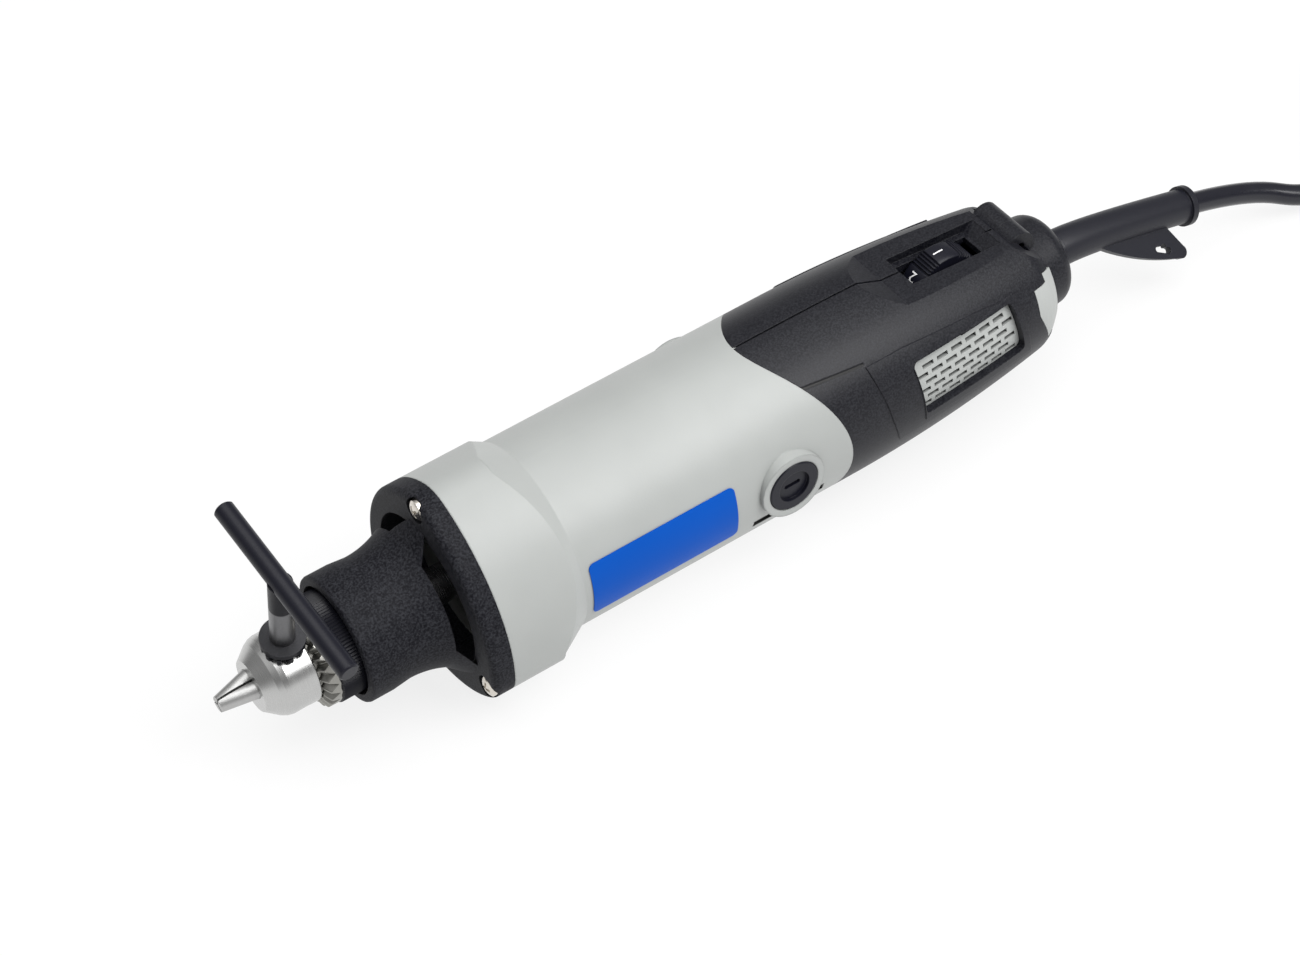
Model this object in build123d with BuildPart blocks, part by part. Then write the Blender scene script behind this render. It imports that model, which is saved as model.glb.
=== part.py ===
"""Mains mini drill: keyed chuck, nose, motor barrel, speed dial housing and coiled cord.

Millimetres. X runs along the spindle: 0 at the jaw tips, negative towards the cord.
Z is up, on the dial's side, and Y is the tool's left.
"""

import math
import os

from build123d import *

os.makedirs("parts", exist_ok=True)

# Clearances and walls
seat_gap = 0.02
run_gap = 0.06
slip_gap = 0.1
clear_gap = 0.4
wall = 2.6

# Driving sizes of the casing
barrel_r = 26.0
side_distance = 27.5
side_r = 39.2
lobe_r = 12.0
lobe_angles = (90, 210, 330)
floor_z = -side_distance
cable_r = 3.0

# Stations along X
nose_front_x = -33.1
bearing_front_x = -44.0
cone_rear_x = -55.7
flange_front_x = -59.6
screw_seat_x = -61.2
flange_rear_x = -65.6
collar_rear_x = -80.5
barrel_front_x = -89.5
tail_arc_x = -139.7
brush_x = -151.5
bracket_x = -160.7
shell_arc_x = -172.0
shell_mid_x = -212.0
shell_tail_x = -238.0
shell_end_x = -243.5
drum_end_x = -255.0

# Radii tied to the barrel
bore_r = barrel_r - wall
core_r = bore_r - slip_gap
shell_mid_r = barrel_r - 1.7
shell_tail_r = barrel_r - 4.8
spindle_r = 4.0
shaft_r = 5.0


def profile(*points):
    """Half section of a turned piece, as (station, radius) pairs."""
    with BuildSketch(Plane.XZ) as section:
        with BuildLine():
            Polyline(*points, close=True)
        make_face()
    return section.sketch


def ring(x0, x1, inner, outer):
    """Half section of a plain ring between two stations."""
    return profile((x0, inner), (x0, outer), (x1, outer), (x1, inner))


def radial_plane(angle):
    """Plane through the spindle: local x is X, local y points outwards at the angle."""
    return Plane.XY.rotated((angle, 0, 0))


def outward(angle):
    """Unit vector square to the spindle, at the angle from Y towards Z."""
    return Vector(0, math.cos(math.radians(angle)), math.sin(math.radians(angle)))


def side_face(*points):
    """Closed side-view outline in the XZ plane."""
    with BuildSketch(Plane.XZ) as face:
        with BuildLine():
            Polyline(*points, close=True)
        make_face()
    return face.sketch


def lobed_outline(x):
    """Three-lobed outline of the flange and collar at a station."""
    with BuildSketch(Plane.YZ.offset(x)) as outline:
        for index, angle in enumerate(lobe_angles):
            with Locations(Vector(side_r - side_distance, 0).rotate(Axis.Z, angle)):
                Circle(side_r, mode=Mode.INTERSECT if index else Mode.ADD)
        fillet(outline.vertices(), lobe_r)
    return outline.sketch


def save(part, name):
    """Label a finished piece and write it as a STEP file."""
    part.label = name
    export_step(part, f"parts/{name}.step")


# Motor housing: lobed collar, barrel with an arched rear edge, and the brush bosses
tail_arc_r = 31.3
tail_arc_z = -2.0
tail_x = tail_arc_x - tail_arc_r - 1
boss_r = 9.5
boss_y = barrel_r + 1.3
cap_r = 7.4
cap_seat_y = barrel_r - 1.7
cap_face_y = boss_y + 0.2
holder_r = 6.2
screw_r = 1.5
screw_reach = 14.0
screw_circle_r = 28.2


def tail_zone():
    """Side view of everything behind the arched joint of barrel and rear shells."""
    with BuildSketch(Plane.XZ) as zone:
        with Locations((tail_arc_x, 0)):
            Rectangle(150, 4 * barrel_r, align=(Align.MAX, Align.CENTER))
        with Locations((tail_arc_x, tail_arc_z)):
            Circle(tail_arc_r, mode=Mode.SUBTRACT)
    return zone.sketch


with BuildPart() as motor_housing:
    extrude(lobed_outline(flange_rear_x), amount=barrel_front_x - flange_rear_x)
    chamfer_line = profile(
        (flange_rear_x, 0),
        (flange_rear_x, side_distance + lobe_r),
        (collar_rear_x, side_distance + lobe_r),
        (collar_rear_x, barrel_r + 5.0),
        (barrel_front_x, barrel_r),
        (barrel_front_x, 0),
    )
    revolve(chamfer_line, axis=Axis.X, mode=Mode.INTERSECT)
    revolve(ring(collar_rear_x, tail_x, 0, barrel_r), axis=Axis.X)
    extrude(tail_zone(), amount=2 * barrel_r, both=True, mode=Mode.SUBTRACT)
    with Locations((brush_x, 0, 0)):
        Cylinder(boss_r, 2 * boss_y, rotation=(90, 0, 0))
    revolve(ring(flange_rear_x, tail_x, 0, bore_r), axis=Axis.X, mode=Mode.SUBTRACT)
    with Locations((brush_x, 0, 0)):
        Cylinder(holder_r + run_gap, 3 * barrel_r, rotation=(90, 0, 0), mode=Mode.SUBTRACT)
    for side in (1, -1):
        with Locations((brush_x, side * (cap_seat_y + wall), 0)):
            Cylinder(cap_r + slip_gap, 2 * wall, rotation=(90, 0, 0), mode=Mode.SUBTRACT)
        with Locations((brush_x, side * (barrel_r - 1.9), -boss_r)):
            Box(2.3 * boss_r, wall, 2.6, mode=Mode.SUBTRACT)
    with BuildSketch(Plane.YZ.offset(flange_rear_x)):
        with PolarLocations(screw_circle_r, 3, start_angle=lobe_angles[0]):
            Circle(screw_r)
    extrude(amount=-screw_reach, mode=Mode.SUBTRACT)
save(motor_housing.part, "motor_housing")

# Nose: chuck shroud with the front bearing seat, three legs and the lobed flange
front_outer_r = 11.0
front_width = 7.0
cone_tip_r = 17.3
cone_mouth_r = 14.9
cone_edge = 0.8
cone_neck_r = 16.8
cone_neck_x = bearing_front_x - 1
cone_flare_r = 19.2
cone_wall = 2.8
flange_bore_r = bore_r - 1.9
flange_edge_r = 2.0
spigot_length = 3.4
slot_front_half = 11.6
slot_rear_half = 18.1
head_r = 2.8
head_height = 2.0
pocket_r = head_r + 0.6

with BuildPart() as flange_plate:
    extrude(lobed_outline(flange_front_x), amount=flange_rear_x - flange_front_x)
    fillet(flange_plate.faces().sort_by(Axis.X)[-1].edges(), flange_edge_r)
    revolve(ring(flange_rear_x, flange_rear_x - spigot_length, 0, bore_r - slip_gap), axis=Axis.X)
    bore_line = ring(flange_front_x + 1, flange_rear_x - spigot_length - 1, 0, flange_bore_r)
    revolve(bore_line, axis=Axis.X, mode=Mode.SUBTRACT)

with BuildPart() as nose_cone:
    with BuildSketch(Plane.XZ):
        with BuildLine():
            Polyline(
                (cone_rear_x, cone_flare_r),
                (cone_rear_x, cone_flare_r - cone_wall),
                (bearing_front_x - front_width - 0.2, front_outer_r + cone_wall),
                (bearing_front_x - front_width - 0.2, front_outer_r + seat_gap),
                (bearing_front_x, front_outer_r + seat_gap),
                (bearing_front_x, front_outer_r - cone_wall),
                (bearing_front_x + cone_wall, front_outer_r - cone_wall),
                (bearing_front_x + cone_wall, cone_mouth_r),
                (nose_front_x, cone_mouth_r),
                (nose_front_x, cone_tip_r - cone_edge),
                (nose_front_x - 0.3 * cone_edge, cone_tip_r - 0.3 * cone_edge),
                (nose_front_x - cone_edge, cone_tip_r),
                (bearing_front_x + 4, cone_tip_r),
                (cone_neck_x, cone_neck_r),
            )
            TangentArc((cone_neck_x, cone_neck_r), (cone_rear_x, cone_flare_r), tangent=(-1, 0))
        make_face()
    revolve(axis=Axis.X)
    leg_root_r = screw_circle_r - 5.0
    leg_line = profile(
        (cone_rear_x + 1, cone_flare_r - 2),
        (cone_rear_x, cone_flare_r),
        (flange_front_x, leg_root_r),
        (flange_front_x - 1, leg_root_r),
        (flange_front_x - 1, flange_bore_r + 0.1),
        (cone_rear_x, cone_flare_r - cone_wall),
        (cone_rear_x + 1, cone_flare_r - cone_wall),
    )
    revolve(leg_line, axis=Axis.X)
    with BuildSketch(*[radial_plane(angle + 90) for angle in lobe_angles]):
        with BuildLine():
            Polyline(
                (cone_rear_x, -slot_front_half),
                (cone_rear_x, slot_front_half),
                (flange_front_x, slot_rear_half),
                (flange_front_x - 1, slot_rear_half),
                (flange_front_x - 1, -slot_rear_half),
                (flange_front_x, -slot_rear_half),
                close=True,
            )
        make_face()
    extrude(amount=2 * barrel_r, mode=Mode.SUBTRACT)
    add(flange_plate.part)
    with BuildSketch(Plane.YZ.offset(flange_rear_x)):
        with PolarLocations(screw_circle_r, 3, start_angle=lobe_angles[0]):
            Circle(screw_r + slip_gap)
    extrude(amount=screw_seat_x - flange_rear_x, mode=Mode.SUBTRACT)
    with BuildSketch(Plane.YZ.offset(screw_seat_x)):
        with PolarLocations(screw_circle_r, 3, start_angle=lobe_angles[0]):
            Circle(pocket_r)
    extrude(amount=head_height + 4, mode=Mode.SUBTRACT)
save(nose_cone.part, "nose_cone")

with BuildPart() as nose_screws:
    with BuildSketch(Plane.YZ.offset(screw_seat_x)):
        with PolarLocations(screw_circle_r, 3, start_angle=lobe_angles[0]):
            Circle(head_r)
    extrude(amount=head_height)
    fillet(nose_screws.faces().group_by(Axis.X)[-1].edges(), head_height / 3)
    with BuildSketch(Plane.YZ.offset(screw_seat_x + head_height)):
        with PolarLocations(screw_circle_r, 3, start_angle=lobe_angles[0]):
            Rectangle(head_r, head_r / 4)
            Rectangle(head_r / 4, head_r)
    extrude(amount=-head_height / 2, mode=Mode.SUBTRACT)
    with BuildSketch(Plane.YZ.offset(screw_seat_x)):
        with PolarLocations(screw_circle_r, 3, start_angle=lobe_angles[0]):
            Circle(screw_r)
    extrude(amount=flange_rear_x - screw_seat_x - screw_reach + 1)
save(nose_screws.part, "nose_screws")

# Label strip on the barrel
label_angle = 19.2
with BuildPart() as label_plate:
    with BuildSketch(radial_plane(-label_angle)):
        with BuildLine():
            Polyline(
                (barrel_front_x - 2, barrel_r + run_gap),
                (barrel_front_x - 2, barrel_r + 0.3),
                (barrel_front_x - 45.5, barrel_r + 0.3),
                (barrel_front_x - 45.5, barrel_r + run_gap),
                close=True,
            )
        make_face()
    revolve(axis=Axis.X, revolution_arc=2 * label_angle)
save(label_plate.part, "label_plate")

# Rear shells: outer skin, dial flat, windows and the drum round the cord
pad_front_x = -200.0
pad_rear_x = -236.0
pad_front_z = barrel_r - 3.7
pad_slope = 0.077
pad_rear_z = pad_front_z + pad_slope * (pad_rear_x - pad_front_x)
pad_tail_z = pad_rear_z - 6.0
shell_wall = 2.4
pad_wall = 4.6
recess_depth = 2.3
cavity_end_x = -237.4
drum_r = 13.6
dial_x = -218.7
dial_z = barrel_r - 15.5
dial_r = 11.0
dial_width = 7.0
recess_half = 5.8
recess_front_x = dial_x + 12.7
recess_rear_x = dial_x - 15.7
slot_half = dial_width / 2 + clear_gap
cross_x = -240.5
cross_z = 15.0
cross_r = 4.5
cross_left = 6.4
cross_right = 9.2
shell_screw_r = 1.4
neck_r = 5.4
neck_x = -248.0
boot_flange_r = 7.2
boot_flange_x = -249.2
boot_flange_width = 2.6
board_top_z = -2.4
board_thick = 1.6
post_r = 2.0
post_spots = ((-192.0, 8.0), (-192.0, -8.0), (-226.0, 8.0), (-226.0, -8.0))
clamp_x = -235.2
clamp_width = 3.8
clamp_half = 9.0
clamp_screw_y = 6.5
clamp_screw_r = 1.2


def shell_radius(x):
    """Outer radius of the rear shells at a station, on straight lines between the three given ones."""
    if x > shell_mid_x:
        return barrel_r + (shell_mid_r - barrel_r) * (x - shell_arc_x) / (shell_mid_x - shell_arc_x)
    return shell_mid_r + (shell_tail_r - shell_mid_r) * (x - shell_mid_x) / (shell_tail_x - shell_mid_x)


def skin(inner_drop, outer_drop):
    """Half section of a layer that follows the rear shells' outer curve at two depths."""
    with BuildSketch(Plane.XZ) as layer:
        with BuildLine():
            upper = ThreePointArc(
                (shell_arc_x, barrel_r - outer_drop),
                (shell_mid_x, shell_mid_r - outer_drop),
                (shell_tail_x, shell_tail_r - outer_drop),
            )
            lower = ThreePointArc(
                (shell_arc_x, barrel_r - inner_drop),
                (shell_mid_x, shell_mid_r - inner_drop),
                (shell_tail_x, shell_tail_r - inner_drop),
            )
            Line(upper @ 0, lower @ 0)
            Line(upper @ 1, lower @ 1)
        make_face()
    return layer.sketch


window_corner = 1.6


def window(grow):
    """Side view of the grille's four-sided window with rounded corners, grown all round."""
    with BuildSketch(Plane.XZ) as opening:
        with BuildLine():
            Polyline((-193.0, 13.3), (-227.0, 12.9), (-229.0, -2.0), (-194.6, -2.4), close=True)
        make_face()
        if grow:
            offset(amount=grow, kind=Kind.INTERSECTION)
        fillet(opening.vertices(), window_corner + grow)
    return opening.sketch


with BuildPart() as rear_cavity:
    with BuildSketch(Plane.XZ):
        with BuildLine():
            hollow = ThreePointArc(
                (shell_arc_x, bore_r),
                (shell_mid_x, shell_mid_r - shell_wall),
                (cavity_end_x, shell_tail_r - shell_wall),
            )
            Polyline(
                hollow @ 0,
                (tail_arc_x, bore_r),
                (tail_arc_x, 0),
                (cavity_end_x, 0),
                hollow @ 1,
            )
        make_face()
    revolve(axis=Axis.X)
    pad_under = side_face(
        (pad_front_x + 4, barrel_r),
        (pad_front_x, pad_front_z - pad_wall),
        (pad_rear_x, pad_rear_z - pad_wall),
        (pad_rear_x - 4, pad_tail_z - pad_wall),
        (pad_rear_x - 4, barrel_r),
    )
    extrude(pad_under, amount=barrel_r, both=True, mode=Mode.SUBTRACT)

panel_rise = 0.3
with BuildPart() as panel_layer:
    revolve(skin(shell_wall / 2, -panel_rise), axis=Axis.X)
    with BuildSketch(Plane.XZ):
        with BuildLine():
            Polyline(
                (-180.6, 17.6),
                (-192.0, 17.4),
                (-208.0, 16.0),
                (-218.0, 15.0),
                (-229.0, 13.4),
                (-232.5, -6.6),
                (-186.4, -7.2),
                (-184.0, 1.5),
                (-182.6, 8.8),
                close=True,
            )
        make_face()
    extrude(amount=barrel_r + 2, both=True, mode=Mode.INTERSECT)

with BuildPart() as rim_layer:
    revolve(skin(shell_wall / 2, -0.6), axis=Axis.X)
    with BuildSketch(Plane.XZ):
        with BuildLine():
            Polyline((-193.0, 12.0), (-228.6, 14.4), (-231.6, -4.6), (-194.6, -4.8), close=True)
        make_face()
    extrude(amount=barrel_r + 2, both=True, mode=Mode.INTERSECT)

tab_start_angle = -20.0
tab_sweep = 59.0
tab_front_x = shell_end_x + 3.4
tab_rear_x = shell_end_x - 1.0
tab_inner_r = drum_r + 1.4
tab_outer_r = shell_tail_r - 2.4
lip_front_x = shell_tail_x + 2.4
lip_inner_r = shell_tail_r - 1.3
lip_top_z = 11.0
lip_turn_z = 4.0
lip_low_z = -8.0
tab_starts = {"left": tab_start_angle, "right": 180 - tab_start_angle - tab_sweep}


def lip_face(grow):
    """Side view of the rear trim's front lip, grown all round."""
    with BuildSketch(Plane.XZ) as face:
        with BuildLine():
            Polyline(
                (lip_front_x, lip_top_z),
                (tab_front_x - 0.5, lip_top_z),
                (tab_front_x - 0.5, lip_low_z),
                (tab_front_x, lip_low_z),
                (lip_front_x, lip_turn_z),
                close=True,
            )
        make_face()
        if grow:
            offset(amount=grow, kind=Kind.INTERSECTION)
    return face.sketch


with BuildPart() as lip_pocket:
    pocket_line = ring(lip_front_x + slip_gap, tab_front_x - 1, lip_inner_r - slip_gap, barrel_r)
    revolve(pocket_line, axis=Axis.X)
    extrude(lip_face(slip_gap), amount=barrel_r, both=True, mode=Mode.INTERSECT)

joint_half = 0.3
joint_depth = 0.7
with BuildPart() as joint_groove:
    revolve(skin(joint_depth, -1), axis=Axis.X)
    revolve(ring(tail_arc_x, shell_arc_x, barrel_r - joint_depth, barrel_r + 1), axis=Axis.X)
    with Locations((pad_front_x, 0, 0)):
        Box(4 * barrel_r, 2 * joint_half, 4 * barrel_r, mode=Mode.INTERSECT)
    pad_groove = side_face(
        (pad_front_x + 9, barrel_r - joint_depth),
        (pad_front_x, pad_front_z - joint_depth),
        (pad_rear_x, pad_rear_z - joint_depth),
        (pad_rear_x, barrel_r),
        (pad_front_x + 9, barrel_r + 1),
    )
    extrude(pad_groove, amount=joint_half, both=True)

with BuildPart() as rear_body:
    with BuildSketch(Plane.XZ):
        with BuildLine():
            flank = ThreePointArc(
                (shell_arc_x, barrel_r),
                (shell_mid_x, shell_mid_r),
                (shell_tail_x, shell_tail_r),
            )
            shoulder = TangentArc(flank @ 1, (shell_end_x, drum_r + 4), tangent=flank % 1)
            Polyline(
                shoulder @ 1,
                (shell_end_x, drum_r),
                (drum_end_x + 4.5, drum_r - 0.6),
            )
            end_round = ThreePointArc(
                (drum_end_x + 4.5, drum_r - 0.6),
                (drum_end_x + 1.3, drum_r - 2.0),
                (drum_end_x, drum_r - 5.2),
            )
            Polyline(
                end_round @ 1,
                (drum_end_x, 0),
                (tail_arc_x, 0),
                (tail_arc_x, barrel_r),
                flank @ 0,
            )
        make_face()
    revolve(axis=Axis.X)
    pad_cut = side_face(
        (pad_front_x + 9, barrel_r + 0.2),
        (pad_front_x, pad_front_z),
        (pad_rear_x, pad_rear_z),
        (pad_rear_x - 7.5, pad_tail_z),
        (pad_rear_x - 7.5, 2 * barrel_r),
        (pad_front_x + 9, 2 * barrel_r),
    )
    extrude(pad_cut, amount=barrel_r, both=True, mode=Mode.SUBTRACT)
    add(panel_layer.part)
    add(rim_layer.part)
    for side in (1, -1):
        with Locations((cross_x, (cross_left - cross_right) / 2, side * cross_z)):
            Cylinder(cross_r, cross_left + cross_right, rotation=(90, 0, 0))
    add(rear_cavity.part, mode=Mode.SUBTRACT)
    extrude(tail_zone(), amount=2 * barrel_r, both=True, mode=Mode.INTERSECT)
    extrude(window(0), amount=2 * barrel_r, both=True, mode=Mode.SUBTRACT)
    recess_floor = side_face(
        (recess_front_x, pad_front_z - pad_slope * (pad_front_x - recess_front_x) - recess_depth),
        (recess_front_x, barrel_r),
        (recess_rear_x, barrel_r),
        (recess_rear_x, pad_rear_z),
        (recess_rear_x + 3.4, pad_rear_z - recess_depth),
    )
    extrude(recess_floor, amount=recess_half, both=True, mode=Mode.SUBTRACT)
    with Locations((dial_x, 0, dial_z + dial_r)):
        Box(2 * (dial_r + clear_gap), 2 * slot_half, 2 * dial_r, mode=Mode.SUBTRACT)
    for spot_x, spot_y in post_spots:
        post_foot_z = shell_wall - shell_radius(spot_x)
        with Locations((spot_x, spot_y, board_top_z - board_thick)):
            Cylinder(
                post_r,
                board_top_z - board_thick - post_foot_z - 0.4,
                align=(Align.CENTER, Align.CENTER, Align.MAX),
            )
    with Locations((clamp_x - 0.4, 0, -cable_r - run_gap)):
        Box(
            clamp_width + 1.4,
            2 * clamp_half,
            6,
            align=(Align.CENTER, Align.CENTER, Align.MAX),
        )
    for spot_y in (clamp_screw_y, -clamp_screw_y):
        with Locations((clamp_x, spot_y, -cable_r)):
            Cylinder(clamp_screw_r + seat_gap, 9, mode=Mode.SUBTRACT)
    cord_way = ring(cavity_end_x + 1, neck_x + 0.2, 0, cable_r + slip_gap)
    revolve(cord_way, axis=Axis.X, mode=Mode.SUBTRACT)
    boot_way = ring(neck_x + 0.2, drum_end_x - 1, 0, neck_r + slip_gap)
    revolve(boot_way, axis=Axis.X, mode=Mode.SUBTRACT)
    groove = ring(
        boot_flange_x + slip_gap,
        boot_flange_x - boot_flange_width - slip_gap,
        0,
        boot_flange_r + slip_gap,
    )
    revolve(groove, axis=Axis.X, mode=Mode.SUBTRACT)
    for start in tab_starts.values():
        with BuildSketch(radial_plane(start - 0.4)):
            with BuildLine():
                Polyline(
                    (tab_front_x + slip_gap, tab_inner_r - slip_gap),
                    (tab_front_x + slip_gap, barrel_r),
                    (tab_rear_x - 2, barrel_r),
                    (tab_rear_x - 2, tab_inner_r - slip_gap),
                    close=True,
                )
            make_face()
        revolve(axis=Axis.X, revolution_arc=tab_sweep + 0.8, mode=Mode.SUBTRACT)
    add(lip_pocket.part, mode=Mode.SUBTRACT)
    add(joint_groove.part, mode=Mode.SUBTRACT)
    for side in (1, -1):
        with Locations((cross_x, 0, side * cross_z)):
            Cylinder(shell_screw_r + seat_gap, 18, rotation=(90, 0, 0), mode=Mode.SUBTRACT)
        with Locations((cross_x, -cross_right, side * cross_z)):
            Cylinder(head_r + clear_gap, 2 * head_height, rotation=(90, 0, 0), mode=Mode.SUBTRACT)

halves = {"left": Keep.BOTTOM, "right": Keep.TOP}
for side_name, kept in halves.items():
    with BuildPart() as rear_shell:
        add(rear_body.part)
        split(bisect_by=Plane.XZ, keep=kept)
    save(rear_shell.part, f"rear_shell_{side_name}")

with BuildPart() as shell_screws:
    for side in (1, -1):
        with Locations((cross_x, head_height - cross_right, side * cross_z)):
            Cylinder(
                shell_screw_r,
                cross_left - 1.2 + cross_right - head_height,
                rotation=(-90, 0, 0),
                align=(Align.CENTER, Align.CENTER, Align.MIN),
            )
            Cylinder(
                head_r,
                head_height - 0.2,
                rotation=(90, 0, 0),
                align=(Align.CENTER, Align.CENTER, Align.MIN),
            )
save(shell_screws.part, "shell_screws")

# Grilles with brick-set slots, sunk into the windows
slot_rows = 6
slot_columns = 7
slot_pitch_x = 4.9
slot_pitch_z = 2.12
slot_length = 3.6
slot_height = 1.05
slot_low_z = -1.0
grille_drop = 1.7
grille_thick = 1.4

for side_name, kept in halves.items():
    with BuildPart() as grille:
        revolve(skin(grille_drop + grille_thick, grille_drop), axis=Axis.X)
        extrude(window(-slip_gap), amount=2 * barrel_r, both=True, mode=Mode.INTERSECT)
        with BuildSketch(Plane.XZ):
            for row in range(slot_rows):
                shift = slot_pitch_x / 2 * (row % 2)
                columns = slot_columns - row % 2
                row_z = slot_low_z + slot_pitch_z * row
                for column in range(columns):
                    step_x = slot_pitch_x * column + shift
                    with Locations((-196.0 - step_x, row_z)):
                        Rectangle(slot_length, slot_height)
        extrude(amount=2 * barrel_r, both=True, mode=Mode.SUBTRACT)
        split(bisect_by=Plane.XZ, keep=kept)
    save(grille.part, f"grille_{side_name}")
    with BuildPart() as trim:
        lip_line = profile(
            (tab_front_x - 0.5, lip_inner_r),
            (lip_front_x, lip_inner_r),
            (lip_front_x, shell_tail_r + 0.3),
            (shell_tail_x, shell_tail_r),
            (tab_front_x, tab_outer_r + 1.6),
            (tab_front_x - 0.5, tab_outer_r + 1.3),
        )
        revolve(lip_line, axis=Axis.X)
        extrude(lip_face(0), amount=barrel_r, both=True, mode=Mode.INTERSECT)
        split(bisect_by=Plane.XZ, keep=kept)
        with BuildSketch(radial_plane(tab_starts[side_name])):
            with BuildLine():
                Polyline(
                    (tab_front_x, tab_inner_r),
                    (tab_front_x, tab_outer_r + 1.6),
                    (tab_front_x - 2, tab_outer_r + 0.4),
                    (tab_rear_x, tab_outer_r - 1.6),
                    (tab_rear_x, tab_inner_r),
                    close=True,
                )
            make_face()
        revolve(axis=Axis.X, revolution_arc=tab_sweep)
    save(trim.part, f"trim_{side_name}")

# Spindle, armature and fan
fan_front_x = -75.0
fan_rear_x = -88.0
fan_r = core_r - 1.8
armature_front_x = -98.0
armature_rear_x = -132.0
armature_r = 14.2
windings_front_x = -90.5
windings_rear_x = -139.5
commutator_front_x = -143.5
commutator_rear_x = -159.5
commutator_r = 11.0
commutator_bore = 4.2
rear_bore = 3.5
rear_outer_r = 9.5
rear_width = 6.0
rear_bearing_x = bracket_x - 0.3
chuck_seat_x = -28.5
shaft_end_x = -168.5

with BuildPart() as armature_shaft:
    shaft_line = profile(
        (chuck_seat_x, 0),
        (chuck_seat_x, spindle_r),
        (bearing_front_x - front_width, spindle_r),
        (bearing_front_x - front_width, shaft_r),
        (commutator_front_x, shaft_r),
        (commutator_front_x, commutator_bore),
        (rear_bearing_x, commutator_bore),
        (rear_bearing_x, rear_bore),
        (shaft_end_x, rear_bore),
        (shaft_end_x, 0),
    )
    revolve(shaft_line, axis=Axis.X)
save(armature_shaft.part, "armature_shaft")

with BuildPart() as cooling_fan:
    revolve(ring(fan_front_x, fan_rear_x, shaft_r, shaft_r + 3), axis=Axis.X)
    revolve(ring(fan_rear_x + 2, fan_rear_x, shaft_r, fan_r), axis=Axis.X)
    with BuildSketch(Plane.YZ.offset(fan_rear_x + 2)):
        with PolarLocations((shaft_r + fan_r + 2) / 2, 14):
            Rectangle(fan_r - shaft_r - 2, 1.2)
    extrude(amount=fan_front_x - fan_rear_x - 4)
save(cooling_fan.part, "cooling_fan")

slot_r = 1.5
slot_circle_r = armature_r - 3.2
with BuildPart() as armature_core:
    revolve(ring(armature_front_x, armature_rear_x, shaft_r, armature_r), axis=Axis.X)
    with BuildSketch(Plane.YZ.offset(armature_front_x)):
        with PolarLocations(slot_circle_r, 12):
            Circle(slot_r)
        with PolarLocations(armature_r - 1, 12):
            Rectangle(4, 1.2)
    extrude(amount=armature_rear_x - armature_front_x, mode=Mode.SUBTRACT)
save(armature_core.part, "armature_core")

with BuildPart() as armature_windings:
    for end_x, core_x in ((windings_front_x, armature_front_x), (windings_rear_x, armature_rear_x)):
        revolve(ring(end_x, core_x, shaft_r, slot_circle_r + slot_r), axis=Axis.X)
    with BuildSketch(Plane.YZ.offset(armature_front_x)):
        with PolarLocations(slot_circle_r, 12):
            Circle(slot_r - run_gap)
    extrude(amount=armature_rear_x - armature_front_x)
save(armature_windings.part, "armature_windings")

with BuildPart() as commutator:
    revolve(ring(commutator_front_x, commutator_rear_x, commutator_bore, commutator_r), axis=Axis.X)
    with BuildSketch(Plane.YZ.offset(commutator_front_x)):
        with PolarLocations(commutator_r, 24):
            Rectangle(1.6, 0.5)
    extrude(amount=commutator_rear_x - commutator_front_x, mode=Mode.SUBTRACT)
save(commutator.part, "commutator")


def bearing(name, front_x, width, inner, outer, inner_race, outer_race, count):
    """Deep groove bearing as an outer race, an inner race and its balls."""
    mid_r = (inner_race + outer_race) / 2
    ball_r = (outer_race - inner_race) / 2 - run_gap
    with BuildPart() as outer_ring:
        revolve(ring(front_x, front_x - width, outer_race, outer), axis=Axis.X)
    save(outer_ring.part, f"{name}_outer")
    with BuildPart() as inner_ring:
        revolve(ring(front_x, front_x - width, inner, inner_race), axis=Axis.X)
    save(inner_ring.part, f"{name}_inner")
    with BuildPart(Plane.YZ.offset(front_x - width / 2)) as balls:
        with PolarLocations(mid_r, count):
            Sphere(ball_r)
    save(balls.part, f"{name}_balls")


bearing("front_bearing", bearing_front_x, front_width, spindle_r, front_outer_r, 6.1, 8.9, 7)
bearing("rear_bearing", rear_bearing_x, rear_width, rear_bore, rear_outer_r, 5.0, 7.9, 7)

# Stator, field coils and the rear bearing bracket
stator_front_x = -96.0
stator_rear_x = -134.0
stator_bore_r = armature_r + 0.6
coil_y = 9.5
coil_width = 5.0
coil_z = 17.3
coil_height = 3.4

with BuildPart() as stator_core:
    revolve(ring(stator_front_x, stator_rear_x, stator_bore_r, core_r), axis=Axis.X)
    with BuildSketch(Plane.YZ.offset(stator_front_x)):
        with GridLocations(2 * coil_y, 2 * coil_z, 2, 2):
            Rectangle(coil_width + 2 * slip_gap, coil_height + 2 * slip_gap)
    extrude(amount=stator_rear_x - stator_front_x, mode=Mode.SUBTRACT)
save(stator_core.part, "stator_core")

with BuildPart() as field_coils:
    frame_length = windings_front_x - windings_rear_x
    for side in (1, -1):
        with Locations(((windings_front_x + windings_rear_x) / 2, 0, side * coil_z)):
            Box(frame_length, 2 * coil_y + coil_width, coil_height)
            Box(
                stator_front_x - stator_rear_x + 1,
                2 * coil_y - coil_width,
                coil_height,
                mode=Mode.SUBTRACT,
            )
save(field_coils.part, "field_coils")

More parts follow.
